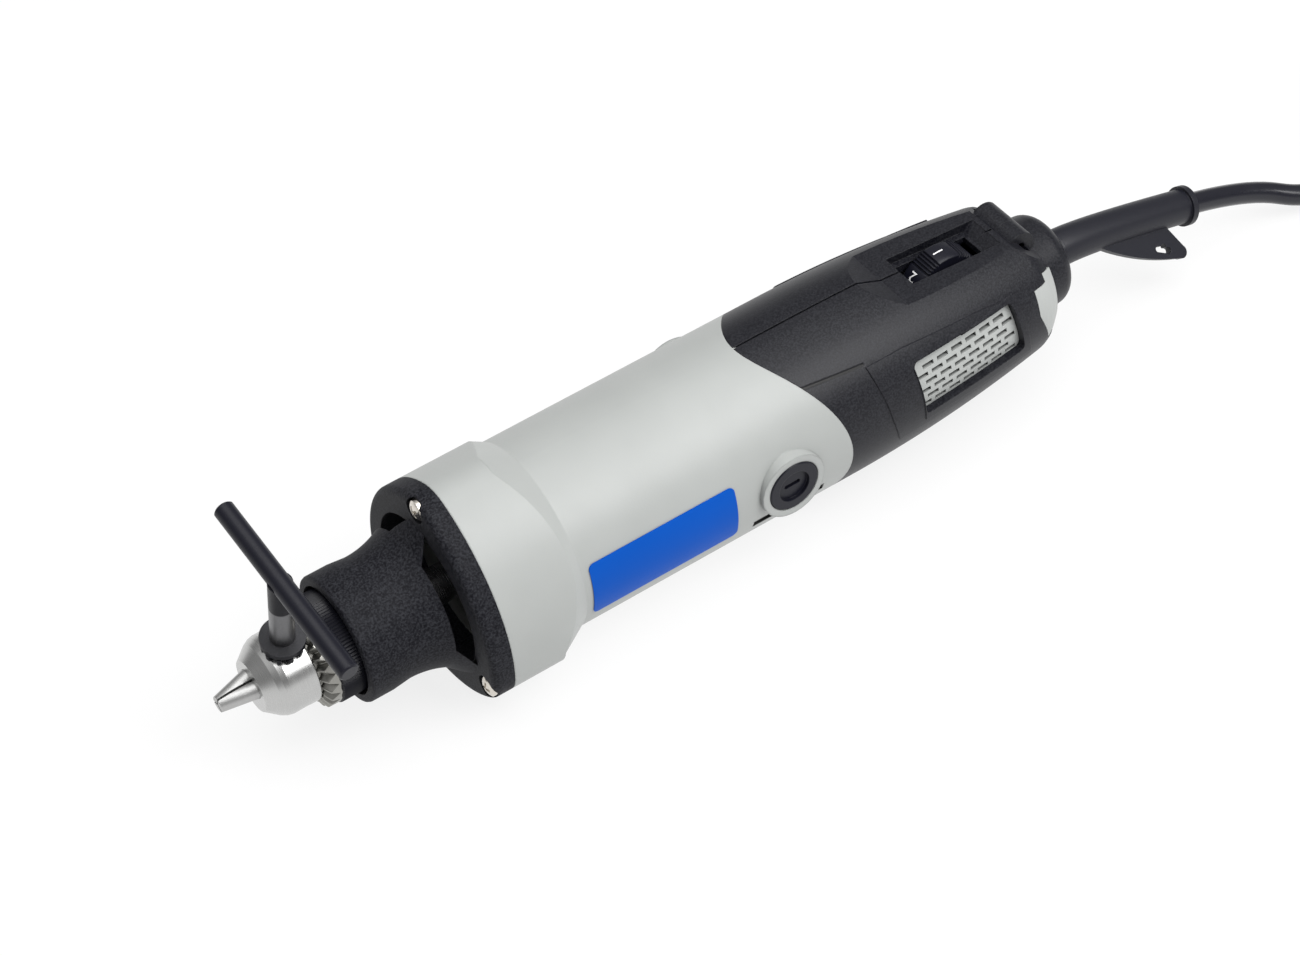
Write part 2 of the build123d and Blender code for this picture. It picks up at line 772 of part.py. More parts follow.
with BuildPart() as rear_bearing_bracket:
    bracket_line = profile(
        (bracket_x, rear_outer_r + seat_gap),
        (bracket_x, core_r),
        (bracket_x - 3, core_r),
        (bracket_x - 3, rear_outer_r + 3),
        (rear_bearing_x - rear_width - 2, rear_outer_r + 3),
        (rear_bearing_x - rear_width - 2, rear_outer_r - 2),
        (rear_bearing_x - rear_width, rear_outer_r - 2),
        (rear_bearing_x - rear_width, rear_outer_r + seat_gap),
    )
    revolve(bracket_line, axis=Axis.X)
    with BuildSketch(Plane.YZ.offset(bracket_x)):
        with PolarLocations((core_r + rear_outer_r + 3) / 2, 6, start_angle=30):
            Circle(3.5)
    extrude(amount=-4, mode=Mode.SUBTRACT)
save(rear_bearing_bracket.part, "rear_bearing_bracket")

# Brush gear, the same on both sides
brush_long = 8.0
brush_thick = 5.0
brush_outer_y = 19.0

for side_name, side in (("left", 1), ("right", -1)):
    brush_plane = Plane(origin=(brush_x, 0, 0), x_dir=(1, 0, 0), z_dir=(0, side, 0))
    with BuildPart() as holder:
        with BuildSketch(brush_plane.offset(commutator_r + 2)):
            Circle(holder_r)
            Rectangle(brush_long + 2 * slip_gap, brush_thick + 2 * slip_gap, mode=Mode.SUBTRACT)
        extrude(amount=cap_seat_y - commutator_r - 2)
    save(holder.part, f"brush_holder_{side_name}")
    with BuildPart() as brush:
        with BuildSketch(brush_plane.offset(commutator_r + run_gap)):
            Rectangle(brush_long, brush_thick)
        extrude(amount=brush_outer_y - commutator_r - run_gap)
    save(brush.part, f"carbon_brush_{side_name}")
    with BuildPart() as spring:
        with BuildSketch(brush_plane.offset(brush_outer_y)):
            Circle(2.3)
            Circle(1.7, mode=Mode.SUBTRACT)
        extrude(amount=cap_seat_y - brush_outer_y)
    save(spring.part, f"brush_spring_{side_name}")
    with BuildPart() as cap:
        with BuildSketch(brush_plane.offset(cap_seat_y)):
            Circle(cap_r)
        extrude(amount=cap_face_y - cap_seat_y)
        with BuildSketch(brush_plane.offset(cap_face_y)):
            Circle(cap_r - 2.8)
        extrude(amount=-1.0, mode=Mode.SUBTRACT)
        with BuildSketch(brush_plane.offset(cap_face_y)):
            SlotOverall(4.8, 1.3)
        extrude(amount=-2.0, mode=Mode.SUBTRACT)
        chamfer(cap.faces().sort_by(Axis.Y)[-1 if side > 0 else 0].outer_wire().edges(), 0.4)
    save(cap.part, f"brush_cap_{side_name}")

# Speed control: dial, potentiometer and board
dial_shaft_r = 3.0
pot_r = 5.4
pot_y = -4.2
pot_end_y = -11.5
board_front_x = -184.0
board_rear_x = -230.0

with BuildPart(Plane(origin=(dial_x, 0, dial_z), x_dir=(1, 0, 0), z_dir=(0, 1, 0))) as speed_dial:
    Cylinder(dial_r, dial_width)
    Cylinder(dial_shaft_r, dial_width, mode=Mode.SUBTRACT)
    chamfer(speed_dial.edges().filter_by(GeomType.CIRCLE).sort_by(SortBy.RADIUS)[-2:], 0.5)
save(speed_dial.part, "speed_dial")

dial_axis_plane = Plane(origin=(dial_x, dial_width / 2, dial_z), x_dir=(1, 0, 0), z_dir=(0, -1, 0))
with BuildPart() as dial_shaft:
    with BuildSketch(dial_axis_plane):
        Circle(dial_shaft_r)
    extrude(amount=dial_width / 2 - pot_end_y - 2)
save(dial_shaft.part, "dial_shaft")

with BuildPart() as potentiometer:
    with BuildSketch(Plane(origin=(dial_x, pot_y, dial_z), x_dir=(1, 0, 0), z_dir=(0, -1, 0))):
        Circle(pot_r)
        Circle(dial_shaft_r + run_gap, mode=Mode.SUBTRACT)
    extrude(amount=pot_y - pot_end_y)
    with Locations((dial_x, pot_end_y, dial_z)):
        Cylinder(pot_r, 1.2, rotation=(90, 0, 0), align=(Align.CENTER, Align.CENTER, Align.MAX))
    with Locations((dial_x, (pot_y + pot_end_y) / 2, board_top_z)):
        Box(
            1.4 * pot_r,
            pot_y - pot_end_y - 2,
            dial_z - pot_r - board_top_z + 1.8,
            align=(Align.CENTER, Align.CENTER, Align.MIN),
        )
save(potentiometer.part, "potentiometer")

with BuildPart() as speed_board:
    with Locations(((board_front_x + board_rear_x) / 2, 0, board_top_z)):
        Box(
            board_front_x - board_rear_x,
            26,
            board_thick,
            align=(Align.CENTER, Align.CENTER, Align.MAX),
        )
save(speed_board.part, "speed_board")


def board_box(name, x0, x1, y0, y1, height):
    """Plain component standing on the board."""
    with BuildPart() as box:
        with Locations(((x0 + x1) / 2, (y0 + y1) / 2, board_top_z)):
            Box(abs(x1 - x0), y1 - y0, height, align=(Align.CENTER, Align.CENTER, Align.MIN))
        fillet(box.edges().filter_by(Axis.Z), 0.8)
    save(box.part, name)


board_box("capacitor", board_front_x - 2, board_front_x - 18, -5, 5, 12)
board_box("triac", dial_x + 10.7, dial_x - 1.3, 6, 11, 9)
board_box("terminal_block", dial_x - 3.3, board_rear_x, 5.5, 12.5, 7)

# Cord inside the drum and its clamp
with BuildPart() as inner_cord:
    revolve(ring(clamp_x + 3.2, neck_x, 0, cable_r), axis=Axis.X)
save(inner_cord.part, "inner_cord")

clamp_thick = 2.4
with BuildPart() as cord_clamp:
    with Locations((clamp_x, 0, cable_r)):
        Box(clamp_width, 2 * clamp_half, clamp_thick, align=(Align.CENTER, Align.CENTER, Align.MIN))
    with GridLocations(1, 2 * clamp_screw_y, 1, 2):
        with Locations((clamp_x, 0, cable_r)):
            Cylinder(clamp_screw_r + slip_gap, 3 * clamp_thick, mode=Mode.SUBTRACT)
save(cord_clamp.part, "cord_clamp")

with BuildPart() as clamp_screws:
    for spot_y in (clamp_screw_y, -clamp_screw_y):
        with Locations((clamp_x, spot_y, cable_r + clamp_thick)):
            Cylinder(
                clamp_screw_r,
                2 * cable_r + clamp_thick + 3,
                align=(Align.CENTER, Align.CENTER, Align.MAX),
            )
            Cylinder(clamp_screw_r + 0.7, 1.6, align=(Align.CENTER, Align.CENTER, Align.MIN))
save(clamp_screws.part, "clamp_screws")

# Boot round the cord, with the tab that holds the key
boot_start_x = drum_end_x - 3
boot_end = Vector(-303.3, 0, -9.9)
boot_turn = 9.0
boot_start_r = 5.3
boot_end_r = 4.8
boot_lip_r = 5.6
tab_tilt = 16.0
tab_angle = -50.0
tab_reach = 14.3
tab_thick = 2.2

with BuildPart() as cable_boot:
    revolve(ring(neck_x, boot_start_x, 0, neck_r), axis=Axis.X)
    flange_line = ring(boot_flange_x, boot_flange_x - boot_flange_width, 0, boot_flange_r)
    revolve(flange_line, axis=Axis.X)
    with BuildLine() as boot_path:
        boot_line = Bezier((boot_start_x, 0, 0), (boot_start_x - boot_turn, 0, 0), boot_end)
    boot_out = boot_line % 1
    root_plane = Plane(origin=(boot_start_x, 0, 0), x_dir=(0, 1, 0), z_dir=(-1, 0, 0))
    end_plane = Plane(origin=boot_end, x_dir=(0, 1, 0), z_dir=boot_out)
    with BuildSketch(root_plane):
        Circle(boot_start_r)
    with BuildSketch(end_plane):
        Circle(boot_end_r)
    sweep(multisection=True)
    with BuildSketch(end_plane):
        Circle(boot_lip_r)
    extrude(amount=-1.8)
    tab_along = Vector(-1, 0, 0).rotate(Axis.Y, -tab_tilt)
    tab_plane = Plane(
        origin=(boot_start_x + 0.66 * (boot_end.X - boot_start_x), 0, 0.44 * boot_end.Z),
        x_dir=tab_along,
        z_dir=tab_along.cross(outward(tab_angle)),
    )
    with BuildSketch(tab_plane):
        with BuildLine():
            tab_root = (-1.5 * tab_reach, boot_start_r - 1.3)
            low_edge = ThreePointArc(tab_root, (-7, tab_reach - 3.5), (8.5, tab_reach))
            tip = ThreePointArc(low_edge @ 1, (11.2, tab_reach - 1), (10.6, tab_reach - 3))
            Polyline(tip @ 1, (5, boot_start_r - 1.8), tab_root)
        make_face()
        with Locations((3.3, tab_reach - 3.4)):
            SlotOverall(5.4, 1.7, rotation=18, mode=Mode.SUBTRACT)
        with Locations((3.6, tab_reach - 4.1)):
            Circle(0.9, mode=Mode.SUBTRACT)
    extrude(amount=tab_thick / 2, both=True)
save(cable_boot.part, "cable_boot")

# Cord from the boot to its put-away coil, on straight runs joined by tangent arcs
tie_thick = 0.7
coil_z0 = floor_z + tie_thick + 0.2 + cable_r
layer_rise = 2 * cable_r + 0.5
coil_outer_r = 46.65
coil_heading = Vector(-1, 0, 0).rotate(Axis.Z, 40)
coil_inward = coil_heading.rotate(Axis.Z, -90)
floor_point = Vector(-343.1, 9.0, coil_z0)
bend_point = Vector(-362.9, 7.9, coil_z0)
coil_start = bend_point + coil_heading * 24
coil_centre = coil_start + coil_inward * coil_outer_r
route = [
    boot_end,
    boot_end + boot_out * 22.6,
    floor_point,
    bend_point,
    coil_start - coil_heading * (2 * cable_r),
]
bend_radii = []
for before, corner, after in zip(route, route[1:], route[2:]):
    turn = (corner - before).get_angle(after - corner)
    shorter = min((corner - before).length, (after - corner).length)
    bend_radii.append(0.45 * shorter / math.tan(math.radians(turn / 2)))
print("cord bend radii", [round(radius, 1) for radius in bend_radii])

with BuildPart() as cord_run:
    with BuildLine() as run_path:
        FilletPolyline(*route, radius=bend_radii)
    with BuildSketch(Plane(origin=boot_end, x_dir=(0, 1, 0), z_dir=boot_out)):
        Circle(cable_r)
    sweep()
save(cord_run.part, "cord_run")

# Coil: half turns spiralling in on the lower layer and out on the upper one, then the tail over it
half_step = layer_rise / 2
climb_step = half_step + 1.2
half_turns_in = 7
half_turns_out = 8
relief_r = cable_r + 0.8
tail_z = coil_z0 + layer_rise + cable_r + 0.2 + relief_r
tail_bend_r = 26.0
tail_turn = 120.0
coil_radii = [coil_outer_r - half_step * turn for turn in range(half_turns_in)]
coil_radii.append(coil_radii[-1] - climb_step)
coil_radii.append(coil_radii[-1])
coil_radii.append(coil_radii[-1] + climb_step)
for turn in range(half_turns_out - 1):
    coil_radii.append(coil_radii[-1] + half_step)

turn_points = []
for turn, turn_radius in enumerate(coil_radii):
    level = layer_rise if turn > half_turns_in else 0
    away = -1 if turn % 2 == 0 else 1
    turn_points.append(coil_centre + coil_inward * (away * turn_radius) + Vector(0, 0, level))
tail_start = Vector(turn_points[-1].X, turn_points[-1].Y, tail_z)
turn_points[-1] = tail_start
tail_pivot = tail_start + coil_inward * tail_bend_r
tail_end = tail_pivot + (tail_start - tail_pivot).rotate(Axis.Z, -tail_turn)

with BuildPart() as cord_coil:
    with BuildLine() as coil_path:
        Line(route[-1], turn_points[0])
        for turn, (first, second) in enumerate(zip(turn_points, turn_points[1:])):
            heading = coil_heading * (1 if turn % 2 == 0 else -1)
            span = second - first
            middle = (first + second) / 2 + heading * (span.length / 2)
            TangentArc(first, middle, tangent=heading)
            TangentArc(middle, second, tangent=span)
        tail_arc = TangentArc(tail_start, tail_end, tangent=coil_heading)
        tail_out = tail_arc % 1
        plug_start = tail_end + tail_out * (2 * cable_r)
        Line(tail_end, plug_start)
    with BuildSketch(Plane(origin=route[-1], x_dir=coil_inward, z_dir=coil_heading)):
        Circle(cable_r)
    sweep()
save(cord_coil.part, "cord_coil")

coil_wire = coil_path.wires()[0]
sample_step = 3.0
sample_count = int(coil_wire.length / sample_step)
samples = [coil_wire.position_at(index / sample_count) for index in range(sample_count + 1)]
apart = int(20 * cable_r / sample_step)
least_gap = min(
    (samples[one] - samples[two]).length
    for one in range(0, len(samples))
    for two in range(one + apart, len(samples))
)
run_length = run_path.wires()[0].length
run_volume = math.pi * cable_r**2 * run_length
coil_volume = math.pi * cable_r**2 * coil_wire.length
print("coil gap to itself", round(least_gap - 2 * cable_r, 3))
print("cord length outside the boot", round(run_length + coil_wire.length, 1))
print("run volume over section times length", round(cord_run.part.volume / run_volume, 4))
print("coil volume over section times length", round(cord_coil.part.volume / coil_volume, 4))

# Tie round the coil's far side
tie_width = 4.0
tie_gap_z = 0.15
tie_inner = coil_radii[half_turns_in] - cable_r + clear_gap
tie_outer = coil_outer_r + cable_r - clear_gap / 2
tie_height = layer_rise + 2 * cable_r + 2 * tie_gap_z
tie_top = coil_z0 + layer_rise / 2 + tie_height / 2 + tie_thick
with BuildPart() as cable_tie:
    with BuildSketch(Plane(origin=(0, coil_centre.Y, 0), x_dir=(1, 0, 0), z_dir=(0, -1, 0))):
        with Locations((coil_centre.X - (tie_inner + tie_outer) / 2, coil_z0 + layer_rise / 2)):
            RectangleRounded(tie_outer - tie_inner + 2 * tie_thick, tie_height + 2 * tie_thick, 2.0)
            RectangleRounded(tie_outer - tie_inner, tie_height, 1.3, mode=Mode.SUBTRACT)
    extrude(amount=tie_width / 2, both=True)
save(cable_tie.part, "cable_tie")

# Flat moulded plug with two pins, lying on the coil
plug_relief = 14.0
plug_length = 30.0
plug_width = 31.0
plug_half_height = 6.8
pin_r = 2.0
pin_pitch = 18.6
pin_length = 19.0
plug_rise = tie_top + 0.2 + plug_half_height - tail_z

plug_plane = Plane(origin=plug_start, x_dir=Vector(0, 0, 1).cross(tail_out), z_dir=tail_out)
with BuildPart() as plug_body:
    with BuildSketch(plug_plane):
        Circle(relief_r)
    with BuildSketch(plug_plane.offset(plug_relief)):
        with Locations((0, plug_rise - plug_half_height + relief_r + 1.6)):
            Circle(relief_r + 1.4)
    loft()
    with BuildSketch(plug_plane.offset(plug_relief)):
        with Locations((0, plug_rise)):
            RectangleRounded(plug_width, 2 * plug_half_height, 6)
    extrude(amount=plug_length)
    plug_face = plug_body.faces().sort_by(Axis(plug_start, tail_out))[-1]
    fillet(plug_face.edges(), 1.5)
save(plug_body.part, "plug_body")

with BuildPart() as plug_pins:
    with BuildSketch(plug_plane.offset(plug_relief + plug_length)):
        with Locations((0, plug_rise)):
            with GridLocations(pin_pitch, 1, 2, 1):
                Circle(pin_r)
    extrude(amount=pin_length)
    pin_ends = plug_pins.faces().filter_by(GeomType.PLANE).sort_by(Axis(plug_start, tail_out))[-2:]
    fillet(pin_ends.edges(), 0.8)
save(plug_pins.part, "plug_pins")

# Chuck: body, geared sleeve and three jaws in slanting holes
chuck_face_x = -9.3
chuck_r = 10.75
chuck_shoulder_x = -13.5
chuck_rear_x = -38.5
neck_front_x = -22.6
chuck_neck_r = 9.2
chuck_bore_r = 2.4
hole_end_x = -26.3
key_x = -18.5
key_angle = 76.5
jaw_tilt = 15.0
jaw_r = 2.3
jaw_end_x = -20.2
jaw_tip_r = 2.1
grip_r = 0.5
jaw_apex = 0.335
jaw_slant = math.tan(math.radians(jaw_tilt))
jaw_axis_r = jaw_tip_r - jaw_r / math.cos(math.radians(jaw_tilt))
jaw_lead = 3.0
key_hole_r = 2.0
key_hole_floor = 6.2
key_angles = [key_angle + 120 * index for index in range(3)]
jaw_angles = [key_angle - 60 + 120 * index for index in range(3)]


def jaw_plane(angle):
    """Plane ahead of a jaw's tip, looking back along its slanting hole."""
    out = outward(angle)
    back = Vector(-1, 0, 0) + out * jaw_slant
    return Plane(origin=Vector(jaw_lead, 0, 0) + out * (jaw_axis_r - jaw_lead * jaw_slant), z_dir=back)


def hole_length(end_x):
    """Length along a jaw's hole from its plane to a station."""
    return (jaw_lead - end_x) / math.cos(math.radians(jaw_tilt))


with BuildPart() as chuck_body:
    body_line = profile(
        (chuck_face_x, 0),
        (chuck_face_x, 7.0),
        (chuck_shoulder_x + 0.9, chuck_r - 1.1),
        (chuck_shoulder_x - 0.6, chuck_r - 0.3),
        (chuck_shoulder_x - 2.0, chuck_r),
        (neck_front_x, chuck_r),
        (neck_front_x, chuck_neck_r),
        (chuck_rear_x, chuck_neck_r),
        (chuck_rear_x, spindle_r),
        (chuck_seat_x, spindle_r),
        (chuck_seat_x, 0),
    )
    revolve(body_line, axis=Axis.X)
    revolve(ring(chuck_face_x + 1, hole_end_x, 0, chuck_bore_r), axis=Axis.X, mode=Mode.SUBTRACT)
    for angle in jaw_angles:
        with BuildSketch(jaw_plane(angle)):
            Circle(jaw_r + run_gap)
        extrude(amount=hole_length(hole_end_x), mode=Mode.SUBTRACT)
    for angle in key_angles:
        hole_floor = Vector(key_x, 0, 0) + outward(angle) * key_hole_floor
        with BuildSketch(Plane(origin=hole_floor, z_dir=outward(angle))):
            Circle(key_hole_r)
        extrude(amount=chuck_r, mode=Mode.SUBTRACT)
save(chuck_body.part, "chuck_body")

for number, angle in enumerate(jaw_angles, start=1):
    with BuildPart() as jaw:
        with BuildSketch(jaw_plane(angle)):
            Circle(jaw_r)
        extrude(amount=hole_length(jaw_end_x))
        with BuildSketch(Plane.YZ):
            with BuildLine():
                apex = Vector(jaw_apex, 0).rotate(Axis.Z, angle)
                first_side = apex + Vector(30, 0).rotate(Axis.Z, angle - 60)
                second_side = apex + Vector(30, 0).rotate(Axis.Z, angle + 60)
                Polyline(apex, first_side, second_side, close=True)
            make_face()
        extrude(amount=1.2 * jaw_end_x, mode=Mode.INTERSECT)
        revolve(ring(1, 1.2 * jaw_end_x, 0, grip_r), axis=Axis.X, mode=Mode.SUBTRACT)
    save(jaw.part, f"jaw_{number}")

ring_teeth = 25
pinion_teeth = 11
cone_ratio = pinion_teeth / ring_teeth
addendum = 0.5
dedendum = 0.8
sleeve_r = 13.5
sleeve_rear_r = cone_mouth_r - 1.0
sleeve_bore_r = chuck_neck_r + slip_gap
sleeve_front_x = neck_front_x - clear_gap
ring_rear_x = -26.9
sleeve_rear_x = -38.0
tooth_space = 1.75


def tip_station(radius):
    """Station of the ring's tooth tips at a radius."""
    return key_x - cone_ratio * radius + addendum


with BuildPart() as chuck_sleeve:
    flat_r = (key_x + addendum - sleeve_front_x) / cone_ratio
    sleeve_line = profile(
        (sleeve_front_x, sleeve_bore_r),
        (sleeve_front_x, flat_r),
        (tip_station(sleeve_r), sleeve_r),
        (ring_rear_x, sleeve_r),
        (ring_rear_x, sleeve_rear_r),
        (sleeve_rear_x, sleeve_rear_r),
        (sleeve_rear_x, sleeve_bore_r),
    )
    revolve(sleeve_line, axis=Axis.X)
    space_angles = [key_angle + 360 / ring_teeth * index for index in range(ring_teeth)]
    with BuildSketch(*[radial_plane(angle) for angle in space_angles]):
        with BuildLine():
            inner_cut = sleeve_bore_r + 0.8
            outer_cut = sleeve_r + 1
            Polyline(
                (tip_station(inner_cut) - addendum - dedendum, inner_cut),
                (tip_station(outer_cut) - addendum - dedendum, outer_cut),
                (key_x, outer_cut),
                (key_x, inner_cut),
                close=True,
            )
        make_face()
    extrude(amount=tooth_space / 2, both=True, mode=Mode.SUBTRACT)
save(chuck_sleeve.part, "chuck_sleeve")

# Chuck key standing in one of the chuck's holes
key_out = outward(key_angle)
key_axis = Axis((key_x, 0, 0), key_out)
key_plane = Plane(origin=(key_x, 0, 0), x_dir=(1, 0, 0), z_dir=key_out)
key_section = Plane(origin=(key_x, 0, 0), x_dir=(1, 0, 0), z_dir=Vector(1, 0, 0).cross(key_out))
pinion_low = chuck_r + 0.2
pinion_high = 13.3
pinion_limit = 5.6
pinion_tooth = 1.05
disc_r = 5.7
disc_low = 13.9
disc_high = 15.4
stem_r = 3.1
handle_h = 40.2
handle_r = 2.65
handle_length = 53.9
handle_turn = 1.7
handle_slide = 2.3
spigot_r = 1.2
spigot_top = 19.0
pilot_r = key_hole_r - slip_gap
handle_along = Vector(1, 0, 0).cross(key_out).rotate(key_axis, handle_turn)
handle_end = Vector(key_x, 0, 0) + key_out * handle_h - handle_along * (handle_length / 2 + handle_slide)
handle_plane = Plane(origin=handle_end, z_dir=handle_along)


def key_ring(low, high, inner, outer):
    """Half section of a plain ring on the key's axis between two heights."""
    with BuildSketch(key_section) as section:
        with BuildLine():
            Polyline((inner, low), (outer, low), (outer, high), (inner, high), close=True)
        make_face()
    return section.sketch


def key_cone(change):
    """Half section of the pinion's cone, its surface moved out by the change."""
    low_r = cone_ratio * pinion_low + change
    high_r = min(cone_ratio * pinion_high + change, pinion_limit)
    with BuildSketch(key_section) as section:
        with BuildLine():
            Polyline(
                (0, pinion_low),
                (low_r, pinion_low),
                (high_r, pinion_high),
                (0, pinion_high),
                close=True,
            )
        make_face()
    return section.sketch


with BuildPart() as key_shaft:
    with BuildSketch(key_plane.offset(pinion_low)):
        with PolarLocations(pinion_limit / 2, pinion_teeth, start_angle=180):
            Rectangle(pinion_limit + 2, pinion_tooth)
    extrude(amount=pinion_high - pinion_low)
    revolve(key_cone(addendum), axis=key_axis, mode=Mode.INTERSECT)
    revolve(key_cone(-dedendum), axis=key_axis)
    revolve(key_ring(pinion_high, handle_h, 0, stem_r), axis=key_axis)
    revolve(key_ring(disc_low, disc_high, 0, disc_r), axis=key_axis)
    with BuildSketch(handle_plane):
        Circle(handle_r)
    extrude(amount=handle_length, mode=Mode.SUBTRACT)
    spigot_hole = key_ring(pinion_low - 1, spigot_top + clear_gap, 0, spigot_r + run_gap)
    revolve(spigot_hole, axis=key_axis, mode=Mode.SUBTRACT)
save(key_shaft.part, "key_shaft")

with BuildPart() as key_handle:
    with BuildSketch(handle_plane):
        Circle(handle_r)
    extrude(amount=handle_length)
    chamfer(key_handle.edges().filter_by(GeomType.CIRCLE), 0.4)
save(key_handle.part, "key_handle")

with BuildPart() as key_pilot:
    revolve(key_ring(key_hole_floor + 0.2, chuck_r - 0.25, 0, pilot_r), axis=key_axis)
    revolve(key_ring(chuck_r - 0.25, spigot_top, 0, spigot_r), axis=key_axis)
save(key_pilot.part, "key_pilot")
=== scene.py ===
import math

import bmesh
import bpy
import numpy as np
from mathutils import Matrix, Vector


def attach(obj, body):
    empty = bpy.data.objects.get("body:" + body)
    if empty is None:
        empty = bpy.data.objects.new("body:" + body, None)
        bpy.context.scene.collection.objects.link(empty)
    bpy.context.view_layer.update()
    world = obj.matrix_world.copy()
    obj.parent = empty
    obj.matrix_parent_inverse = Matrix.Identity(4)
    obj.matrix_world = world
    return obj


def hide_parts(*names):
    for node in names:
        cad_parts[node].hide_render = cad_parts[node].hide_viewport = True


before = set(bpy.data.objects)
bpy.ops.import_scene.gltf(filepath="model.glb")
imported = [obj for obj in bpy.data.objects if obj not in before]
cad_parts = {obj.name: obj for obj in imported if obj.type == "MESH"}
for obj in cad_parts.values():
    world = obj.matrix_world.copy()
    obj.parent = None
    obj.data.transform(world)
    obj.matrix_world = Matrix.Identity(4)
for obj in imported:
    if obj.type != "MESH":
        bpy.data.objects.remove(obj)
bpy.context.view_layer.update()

# Sizes shared by the pieces, in metres, in the drill's own frame
MM = 0.001
TURN = 2 * np.pi
floor_z = -27.5 * MM
cable_r = 3.0 * MM
key_angle = np.radians(76.5)
dial_x, dial_z, dial_r = -218.7 * MM, 10.5 * MM, 11.0 * MM
number_step = np.radians(50)
number_size, number_rise = 4.4, 0.06
label_x, label_outer_r, label_inner_r = -113.25 * MM, 26.3 * MM, 26.06 * MM
label_half_length, label_half_width, label_corner = 21.75 * MM, 8.74 * MM, 1.6 * MM
screw_head_r, nose_head_height, shell_head_height = 2.8 * MM, 2.0 * MM, 1.8 * MM
nose_seat_x, nose_screw_circle_r = -61.2 * MM, 28.2 * MM
shell_seat_x, shell_seat_y, shell_screw_z = -240.5 * MM, -7.2 * MM, 15 * MM


def node(tree, kind, sockets=None, **settings):
    """Shader node of a kind, its sockets linked or set by name and its properties set by keyword."""
    made = tree.nodes.new(kind)
    for key, value in settings.items():
        setattr(made, key, value)
    for key, value in (sockets or {}).items():
        if isinstance(value, bpy.types.NodeSocket):
            tree.links.new(value, made.inputs[key])
        else:
            made.inputs[key].default_value = value
    return made


def begin(name, **constants):
    """Material with one Principled shader, its constants set on the shader's own sockets."""
    material = bpy.data.materials.new(name)
    material.use_nodes = True
    shader = material.node_tree.nodes["Principled BSDF"]
    for key, value in constants.items():
        shader.inputs[key.replace("_", " ")].default_value = value
    return material, material.node_tree, shader


def place(tree, stretch=(1, 1, 1)):
    """Object coordinates, stretched along the three axes."""
    coords = node(tree, "ShaderNodeTexCoord").outputs["Object"]
    return node(tree, "ShaderNodeMapping", {"Vector": coords, "Scale": stretch}).outputs[0]


def noise(tree, vector, size, detail=3.0):
    """Noise with lumps of about the given size."""
    sockets = {"Vector": vector, "Scale": 1 / size, "Detail": detail, "Roughness": 0.6}
    return node(tree, "ShaderNodeTexNoise", sockets).outputs[0]


def remap(tree, value, low, high, to_low, to_high):
    """Value carried from one range to another, held at the ends."""
    sockets = {"Value": value, "From Min": low, "From Max": high, "To Min": to_low, "To Max": to_high}
    return node(tree, "ShaderNodeMapRange", sockets).outputs[0]


def maths(tree, operation, first, second=0.0):
    """One sum of two sockets or numbers."""
    made = node(tree, "ShaderNodeMath", {0: first, 1: second}, operation=operation)
    return made.outputs[0]


def ramp(tree, value, *stops):
    """Colour ramp over the value, from (position, colour) stops."""
    made = node(tree, "ShaderNodeValToRGB", {"Fac": value})
    elements = made.color_ramp.elements
    while len(elements) < len(stops):
        elements.new(0.5)
    for element, (position, colour) in zip(elements, stops):
        element.position = position
        element.color = (*colour, 1)
    return made.outputs[0]


def blended(tree, factor, first, second):
    """Colour between two, by a factor."""
    made = node(tree, "ShaderNodeMix", {0: factor, 6: first, 7: second}, data_type="RGBA")
    return made.outputs[2]


def shade(colour, amount):
    """Colour made lighter or darker by a factor."""
    return tuple(min(1.0, part * amount) for part in colour)


def relief(tree, shader, height, strength, depth, edge=0.0):
    """Bump from a height, over edges eased by a small radius."""
    sockets = {"Height": height, "Strength": strength, "Distance": depth}
    if edge:
        sockets["Normal"] = node(tree, "ShaderNodeBevel", {"Radius": edge}, samples=4).outputs[0]
    tree.links.new(node(tree, "ShaderNodeBump", sockets).outputs[0], shader.inputs["Normal"])


def along(tree, direction):
    """Distance of the point along a direction, from its Object coordinates."""
    coords = node(tree, "ShaderNodeTexCoord").outputs["Object"]
    dot = node(tree, "ShaderNodeVectorMath", {0: coords, 1: direction}, operation="DOT_PRODUCT")
    return dot.outputs["Value"]


def band(tree, value, low, high, soft):
    """One inside a range of the value and nothing outside it, with soft ends."""
    middle, half = (low + high) / 2, (high - low) / 2
    away = maths(tree, "ABSOLUTE", maths(tree, "SUBTRACT", value, middle))
    return remap(tree, away, half - soft, half + soft, 1.0, 0.0)


def shell_crease(tree):
    """Mask of the painted shade along the crease that leads to each side panel of the rear halves."""
    station, height = along(tree, (1, 0, 0)), along(tree, (0, 0, 1))
    slope = maths(tree, "SUBTRACT", height, maths(tree, "MULTIPLY", station, 0.075))
    crease = band(tree, slope, 31.4 * MM, 32.0 * MM, 0.15 * MM)
    reach = band(tree, station, -180.5 * MM, -160.0 * MM, 0.3 * MM)
    return maths(tree, "MULTIPLY", crease, reach)


def closed_in(tree, reach):
    """Painted shade: one deep in the piece's own holes and corners that are narrower than the reach, nothing
    in the open.
    """
    sockets = {"Distance": reach}
    open_share = node(tree, "ShaderNodeAmbientOcclusion", sockets, samples=8, only_local=True).outputs["AO"]
    return remap(tree, open_share, 0.3, 0.65, 1.0, 0.0)


